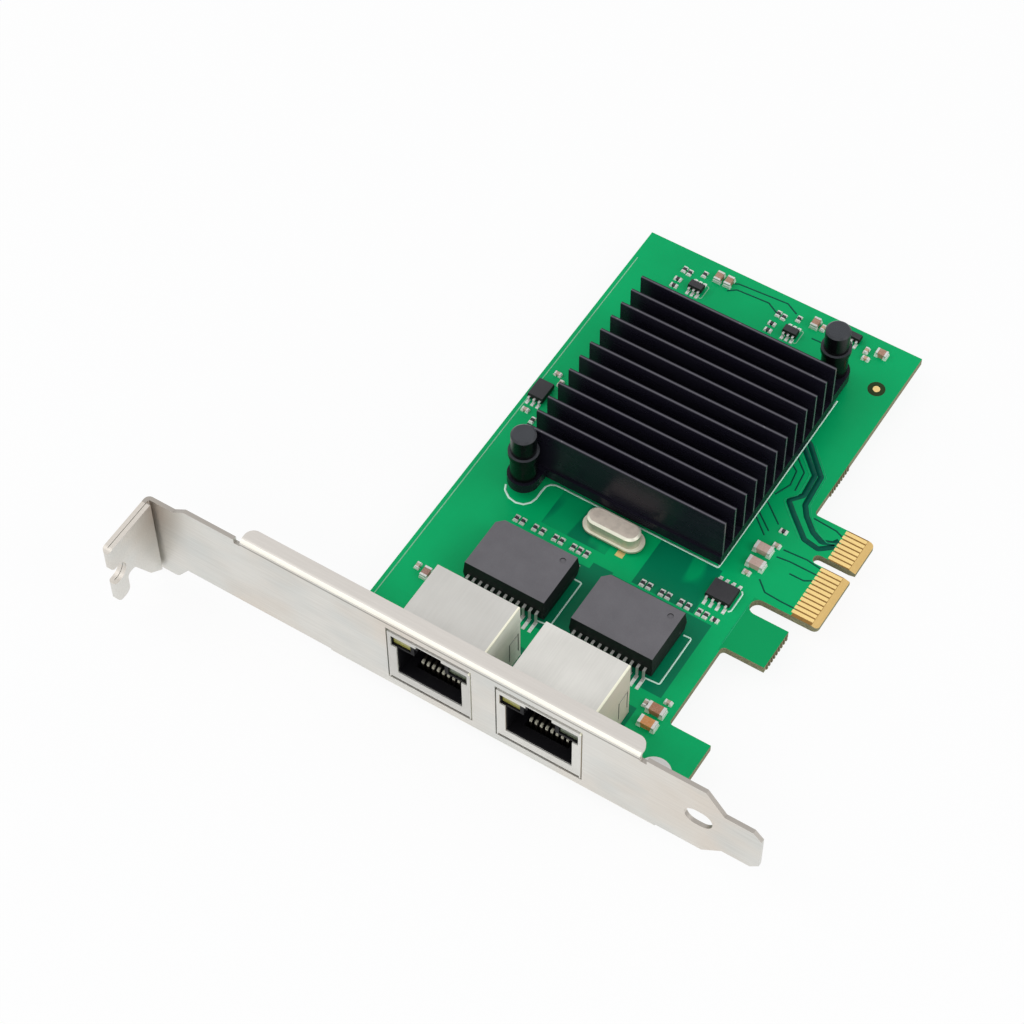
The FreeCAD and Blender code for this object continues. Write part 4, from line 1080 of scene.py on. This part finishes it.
@dataclass
class PrintedBoard:
    """The board's finish and everything printed, plated or soldered on its two faces."""

    grower: Grower
    print_width: float = 0.38
    fine_print_width: float = 0.3
    edge_line_width: float = 0.2
    print_lift: float = 0.01
    trace_width: float = 1.05
    fine_trace_width: float = 0.3
    ridge_width: float = 0.16
    ridge_offset: Place = (0.85, 0.35)
    trace_lift: float = 0.002
    regulator_middles: tuple[float, ...] = (-55.0, -35.1)
    far_side_rows: int = 8
    dot: Place = (-15.8, 97.1)
    dot_sizes: tuple[Triple, Triple] = ((2.3, 2.3, 0.02), (1.0, 1.0, 0.05))
    ground: Place = (-36.4, 41.9)
    ground_size: Triple = (1.5, 1.3, 0.05)
    tail_size: Triple = (1.5, 1.5, 0.9)
    broken_edges: tuple[Triple, ...] = ((-3.9, 35.9, 42.6), (-12.0, 73.0, 79.4))
    nubs_a_side: int = 9
    nub_size: Place = (0.5, 0.42)
    nub_foot: float = 0.15
    nub_shortfall: float = 0.2
    top: float = field(init=False)
    bottom: float = field(init=False)

    def __post_init__(self) -> None:
        """Read the faces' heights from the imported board."""
        self.bottom, self.top = (height / MM for height in board_faces())

    def build(self) -> None:
        """Dress the board and lay its printed and plated detail."""
        dress(SolderMask().build(), "board")
        self._print_outlines()
        self._lay_traces()
        self._lay_dots()
        self._break_edges()

    def _print_outlines(self) -> None:
        """White outlines round the heatsink, the modules and the small chips."""
        heatsink = [
            (-61.1, 44.0), (-60.6, 42.9), (-59.2, 41.9), (-57.6, 41.6), (-56.2, 42.0), (-55.3, 43.0),
            (-54.95, 44.3), (-55.0, 46.0), (-54.9, 47.3), (-54.4, 48.05), (-53.6, 48.5), (-52.6, 48.55),
            (-20.6, 48.5), (-20.5, 91.0),
        ]
        left_module = [(-40.4, 33.3), (-38.9, 33.3), (-38.9, 23.0), (-41.4, 22.7)]
        right_module = [(-18.7, 33.4), (-17.2, 33.5), (-17.2, 22.8), (-20.0, 22.6)]
        memory = [(-14.7, 46.4), (-14.3, 45.9), (-14.3, 41.9), (-14.7, 41.5)]
        regulators = [
            [(middle + 1.3, 101.6), (middle + 1.9, 101.6), (middle + 1.9, 98.4), (middle + 1.3, 98.4)]
            for middle in self.regulator_middles
        ]
        edge_line = [(-68.05, 3.0), (-68.05, 100.8)]
        tab_line = [(-12.3, 35.4), (-12.3, 45.4)]
        height = self.top + self.print_lift
        lay = self.grower.strips
        lay("heatsink_print", [heatsink], height, self.print_width, Finish.PRINT)
        lay("part_prints", [left_module, right_module, memory], height, self.fine_print_width, Finish.PRINT)
        lay("fine_prints", [edge_line, *regulators], height, self.edge_line_width, Finish.FAINT_PRINT)
        lay("tab_line", [tab_line], height, self.edge_line_width, Finish.RIDGE)

    def _lay_traces(self) -> None:
        """Conductors that show through the mask near the fingers, the jacks and the far edge."""
        inner = [
            (-24.0, 81.0), (-20.3, 78.7), (-15.9, 74.4), (-15.5, 69.6), (-17.3, 67.4), (-14.9, 65.1),
            (-10.9, 61.5), (-7.9, 61.0), (-5.6, 62.9),
        ]
        outer = [
            (-24.0, 82.4), (-19.8, 79.9), (-14.8, 74.7), (-14.3, 68.0), (-12.9, 66.0), (-10.3, 63.6),
            (-8.1, 62.6), (-6.2, 63.4), (-5.6, 64.4),
        ]
        fine = [
            [(-24.0, 77.3), (-21.7, 75.3), (-19.1, 73.6), (-18.6, 70.4), (-19.9, 67.2)],
            [(-24.0, 79.0), (-20.8, 76.7), (-17.8, 74.0), (-17.3, 69.7)],
            [(-23.0, 66.8), (-19.9, 64.9), (-16.2, 61.9)],
            [(-22.9, 62.9), (-20.3, 61.3), (-17.2, 58.6)],
            [(-22.9, 64.3), (-20.3, 62.4), (-17.0, 59.8)],
            [(-13.2, 55.8), (-10.7, 56.1), (-5.5, 56.1)],
            [(-12.9, 57.7), (-8.4, 58.0), (-5.5, 57.6)],
            [(-9.6, 53.9), (-6.8, 53.9), (-5.5, 54.7)],
            [(-13.4, 50.2), (-11.3, 48.3), (-8.1, 48.1), (-5.5, 48.1)],
            [(-11.6, 66.3), (-7.0, 66.0), (-5.5, 65.4)],
            [(-49.6, 104.8), (-48.9, 105.2), (-38.9, 105.9), (-36.4, 104.6)],
            [(-50.0, 102.6), (-48.5, 103.8), (-42.0, 104.2), (-39.4, 102.8)],
            [(-31.3, 101.1), (-28.6, 101.2), (-27.0, 99.8)],
        ]
        off_x, off_reach = self.ridge_offset
        ridges = [
            [(x + off_x, reach + off_reach) for x, reach in outer[1:]],
            [(x - off_x, reach - off_reach) for x, reach in inner[1:-2]],
        ]
        far_side = [
            [
                (-48.0 + 2.6 * row, 15.0), (-48.0 + 2.6 * row, 24.0 + 1.6 * row),
                (-40.0 + 1.7 * row, 33.0 + 1.5 * row), (-36.0 + 1.7 * row, 60.0),
            ]
            for row in range(self.far_side_rows)
        ]
        height = self.top + self.trace_lift
        far_height = self.bottom - self.trace_lift
        lay = self.grower.strips
        lay("finger_traces", [inner, outer], height, self.trace_width, Finish.TRACE, 0.02, 0.6)
        lay("fine_traces", fine, height, self.fine_trace_width, Finish.TRACE, 0.024, 0.4)
        lay("trace_edges", ridges, height, self.ridge_width, Finish.RIDGE, 0.03, 0.6)
        lay("far_side_traces", far_side, far_height, self.fine_trace_width, Finish.RIDGE, 0.02, 0.8)

    def _lay_dots(self) -> None:
        """The sighting dot, the ground pad and the solder on the far side."""
        dot, ground = (metres(x, along(reach), self.top) for x, reach in (self.dot, self.ground))
        ring_size, dot_size = (metres(*size) for size in self.dot_sizes)
        lay = self.grower.mounds_on
        lay("sighting_ring", [dot], [ring_size], Finish.SOCKET, 32, 0.98, slot="solder_mask")
        lay("sighting_dot", [dot], [dot_size], Finish.GOLD, 24, 0.94, slot="gold")
        lay("ground_pad", [ground], [metres(*self.ground_size)], Finish.GOLD, 4, 0.94, slot="gold")
        tails = [
            ((low.x + high.x) / 2, self._tail_y(name, low, high), self.bottom * MM)
            for name in ("jack_contacts_1", "jack_contacts_2")
            for low, high in separate_boxes(name)
        ]
        lay("tail_solder", tails, [metres(*self.tail_size)] * len(tails), Finish.SOLDER, 12, 0.45, True)

    @staticmethod
    def _tail_y(name: str, low: Vector, high: Vector) -> float:
        """Find where a contact wire's tail stands.

        Args:
            name: the wire's node.
            low, high: the wire's box in metres.

        Returns:
            Y of the tail, read from the wire's lowest corners.
        """
        corners = (vertex.co for vertex in node(name).data.vertices)
        feet = [co.y for co in corners if low.x - 1e-6 <= co.x <= high.x + 1e-6 and co.z < low.z + 1e-5]
        return sum(feet) / len(feet)

    def _break_edges(self) -> None:
        """Torn fibre where the board was snapped from its panel."""
        places = []
        for x, first, last in self.broken_edges:
            for step in range(self.nubs_a_side):
                reach = first + (last - first) * step / (self.nubs_a_side - 1)
                places.append(metres(x, along(reach), self.bottom + self.nub_foot))
        size = metres(*self.nub_size, self.top - self.bottom - self.nub_shortfall)
        sizes = [size] * len(places)
        self.grower.mounds_on("torn_fibre", places, sizes, Finish.NUB, 4, 0.8, slot="solder_mask")


@dataclass
class SolderedParts:
    """Surface-mounted parts: their finishes and the solder at their feet."""

    grower: Grower
    spread: float = 0.16
    cap_share: float = 0.55
    foot_spread: float = 0.22
    foot_rise: float = 0.14
    can_rim: float = 0.9
    pad_length: Place = (1.2, 2.5)
    pad_beyond: Place = (0.3, 1.6)
    capped: tuple[str, ...] = ("large_capacitor_ends", "small_capacitor_ends", "resistor_ends")
    leaded: tuple[tuple[str, str], ...] = (
        ("transformer_leads_1", "transformer_body_1"), ("transformer_leads_2", "transformer_body_2"),
        ("memory_chip_leads", "memory_chip_body"), ("regulator_leads", "regulator_bodies"),
        ("edge_transistor_leads", "edge_transistor_body"),
        ("corner_transistor_leads", "corner_transistor_body"),
    )
    large_tints: tuple = (
        (0, 16.5, srgb(214, 140, 70)), (16.5, 19.3, srgb(168, 112, 78)), (19.3, 25, srgb(150, 108, 96)),
        (50, 58, srgb(198, 168, 156)), (100, 110, srgb(166, 122, 98)),
    )
    small_tints: tuple = ((95, 110, srgb(196, 160, 132)),)

    def build(self) -> None:
        """Dress every soldered part and add its solder."""
        dress(Finish.TIN.material(), *self.capped, *(leads for leads, _ in self.leaded[2:]))
        # The modules' leads take LEG, painted shade from the bodies above them.
        dress(Finish.LEG.material(), *(leads for leads, _ in self.leaded[:2]))
        dress(Finish.MODULE.material(), "transformer_body_1", "transformer_body_2")
        dress(
            Finish.CHIP.material(), "memory_chip_body", "regulator_bodies", "edge_transistor_body",
            "corner_transistor_body", "controller_chip", "resistor_bodies",
        )
        large = Ceramic("large_ceramic", self.large_tints, srgb(190, 150, 120))
        small = Ceramic("small_ceramic", self.small_tints, srgb(186, 168, 150))
        dress(large.build(), "large_capacitor_bodies")
        dress(small.build(), "small_capacitor_bodies")
        can_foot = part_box("crystal_can")[0][2] / MM
        dress(DrawnCan("crystal_case", can_foot + self.can_rim).build(), "crystal_can")
        dress(Finish.BLACK.material(), "crystal_base")
        self._cap_solder()
        self._foot_solder()

    def _cap_solder(self) -> None:
        """A fillet of solder round each capped end."""
        _, top = board_faces()
        spread = 2 * self.spread * MM
        places, sizes = [], []
        for name in self.capped:
            for low, high in separate_boxes(name):
                middle = (low + high) / 2
                places.append((middle.x, middle.y, top))
                size = high - low
                sizes.append((size.x + spread, size.y + spread, (high.z - top) * self.cap_share))
        self.grower.mounds_on("cap_solder", places, sizes, Finish.SOLDER, 4, 0.82)

    def _foot_solder(self) -> None:
        """A pad of solder under each lead's foot, long ones before the modules."""
        _, top = board_faces()
        places, sizes = [], []
        for leads, body in self.leaded:
            middles = [(low + high) / 2 for low, high in separate_boxes(body)]
            for low, high in separate_boxes(leads):
                middle = (low + high) / 2
                nearest = min(middles, key=lambda other: (other - middle).length)
                outward = 1.0 if middle.y > nearest.y else -1.0
                foot_y = high.y if outward > 0 else low.y
                long_pad = leads.startswith("transformer") and outward < 0
                length = self.pad_length[long_pad] * MM
                beyond = self.pad_beyond[long_pad] * MM
                places.append((middle.x, foot_y + outward * (beyond - length / 2), top))
                sizes.append((high.x - low.x + self.foot_spread * MM, length, self.foot_rise * MM))
        self.grower.mounds_on("foot_solder", places, sizes, Finish.SOLDER, 4, 0.85)


@dataclass
class Jacks:
    """The two network jacks."""

    tops: tuple[Colour, Colour] = (srgb(208, 206, 201), srgb(224, 222, 216))
    # Painted light on jack 1's right-facing side, which jack 2 shades, and painted shade on jack 2's.
    side_shadings: tuple[Colour, Colour] = (srgb(255, 255, 240), srgb(212, 198, 179))
    # Height above the board's component face where the wires' painted highlight starts.
    wire_highlight_rise: float = 4.1

    def build(self) -> None:
        """Dress every jack's shield, housing, wires and lenses."""
        wires = SpringWire("contact_wire", board_faces()[1] / MM + self.wire_highlight_rise).build()
        for number, (top, side_shading) in enumerate(zip(self.tops, self.side_shadings), 1):
            low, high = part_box(f"jack_shell_{number}")
            middle = (low[0] + high[0]) / 2 / MM
            shield = JackShield(f"jack_shield_{number}", high[0] / MM, high[2] / MM, top, side_shading)
            dress(shield.build(), f"jack_shell_{number}")
            dress(Finish.HOUSING.material(), f"jack_housing_{number}")
            dress(wires, f"jack_contacts_{number}")
            dress(PairedLens(f"port_lens_{number}", middle).build(), f"jack_lights_{number}")


@dataclass
class MountingBracket:
    """The folded bracket and the screws that hold the board to it."""

    flange_x: Place = (-85.7, -7.9)

    def build(self) -> None:
        """Dress the bracket and its screws."""
        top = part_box("bracket")[1][2] / MM
        dress(FoldedSteel("nickel_bracket", self.flange_x, top).build(), "bracket")
        dress(Finish.SCREW.material(), "bracket_screws")


@dataclass
class Cooler:
    """The heatsink, its pins and springs, and the pad below it."""

    base_thickness: float = 2.2
    fin_foot: float = 0.15

    def build(self) -> None:
        """Dress the cooler's pieces."""
        base_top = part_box("heatsink")[0][2] / MM + self.base_thickness
        dress(BlackAnodise(base_top + self.fin_foot).build(), "heatsink")
        dress(Finish.PIN.material(), "push_pins")
        dress(Finish.SPRING.material(), "push_pin_springs")
        dress(Finish.PAD.material(), "thermal_pad")


@dataclass
class Fingers:
    """The gold contacts on both faces of the tongue."""

    contacts: tuple[str, ...] = ("edge_contacts_front", "edge_contacts_back")

    def build(self) -> None:
        """Dress the contacts."""
        dress(Finish.GOLD.material(), *self.contacts)


# Studio


@dataclass
class Lamp:
    """One soft square lamp that looks at the card."""

    name: str
    place: Triple
    width: float
    watts: float

    def build(self, target: Vector) -> None:
        """Hang the lamp.

        Args:
            target: the point that it faces.
        """
        light = bpy.data.lights.new(self.name, "AREA")
        light.energy = self.watts
        light.size = self.width
        lamp = bpy.data.objects.new(self.name, light)
        lamp.location = self.place
        lamp.rotation_euler = (target - Vector(self.place)).to_track_quat("-Z", "Y").to_euler()
        bpy.context.scene.collection.objects.link(lamp)


@dataclass
class Studio:
    """Pale floor, soft lamps, white surroundings and the photograph's camera."""

    camera_place: Triple = (0.101640, -0.264879, 0.419645)
    camera_right: Triple = (0.845415, 0.534059, -0.007404)
    camera_ahead: Triple = (-0.310690, 0.480451, -0.820145)
    lens_mm: float = 102.65
    sensor_mm: float = 36.0
    clip_start: float = 0.01
    floor_side: float = 6.0
    floor_gap: float = 0.0002
    floor_paint: Colour = (0.9, 0.9, 0.9, 1.0)
    floor_roughness: float = 0.9
    floor_white: float = 0.9
    room_paint: Colour = (0.97, 0.98, 1.0, 1.0)
    room_light: float = 0.72
    lamps: tuple[Lamp, ...] = (
        Lamp("key_lamp", (-0.85, -0.3, 0.8), 0.7, 2.2),
        Lamp("front_lamp", (0.2, -0.85, 0.5), 0.8, 1.9),
        Lamp("right_lamp", (0.85, 0.1, 0.55), 0.7, 2.0),
    )

    def build(self) -> None:
        """Set up the studio."""
        self._place_camera()
        self._lay_floor()
        self._surround()
        low, high = CAD_BOX
        middle = (Vector(low) + Vector(high)) / 2
        for lamp in self.lamps:
            lamp.build(middle)
        bpy.context.scene.view_settings.view_transform = "Standard"

    def _place_camera(self) -> None:
        """Stand the camera where the photograph was taken from."""
        back = -Vector(self.camera_ahead).normalized()
        right = Vector(self.camera_right)
        right = (right - back * right.dot(back)).normalized()
        up = back.cross(right)
        data = bpy.data.cameras.new("photo_camera")
        data.lens = self.lens_mm
        data.sensor_width = self.sensor_mm
        data.clip_start = self.clip_start
        camera = bpy.data.objects.new("photo_camera", data)
        turn = Matrix((right, up, back)).transposed().to_4x4()
        camera.matrix_world = Matrix.Translation(self.camera_place) @ turn
        bpy.context.scene.collection.objects.link(camera)
        bpy.context.scene.camera = camera

    def _lay_floor(self) -> None:
        """Lay a wide pale floor under the card's lowest point."""
        half = self.floor_side / 2
        z = CAD_BOX[0][2] - self.floor_gap
        corners = [(-half, -half, z), (half, -half, z), (half, half, z), (-half, half, z)]
        mesh = bpy.data.meshes.new("floor")
        mesh.from_pydata(corners, [], [(0, 1, 2, 3)])
        floor = bpy.data.objects.new("floor", mesh)
        bpy.context.scene.collection.objects.link(floor)
        graph = ShaderGraph("pale_floor")
        inputs = {"Base Color": self.floor_paint, "Roughness": self.floor_roughness}
        paint = graph.node("ShaderNodeBsdfPrincipled", inputs=inputs)
        mesh.materials.append(graph.white_when_seen(paint, self.floor_white))

    def _surround(self) -> None:
        """Light the card evenly from all round and show white behind it."""
        graph = ShaderGraph("white_room", world=True)
        inputs = {"Color": self.room_paint, "Strength": self.room_light}
        room = graph.node("ShaderNodeBackground", inputs=inputs)
        bpy.context.scene.world = graph.white_when_seen(room, 1.0)


def main() -> None:
    """Build the studio and dress every sub-assembly in order."""
    logging.basicConfig(level=logging.INFO, format="%(name)s: %(message)s")
    grower = Grower()
    Studio().build()
    PrintedBoard(grower).build()
    Fingers().build()
    MountingBracket().build()
    Jacks().build()
    SolderedParts(grower).build()
    Cooler().build()
    logger.info("the scene is complete")


if __name__ == "__main__":
    main()
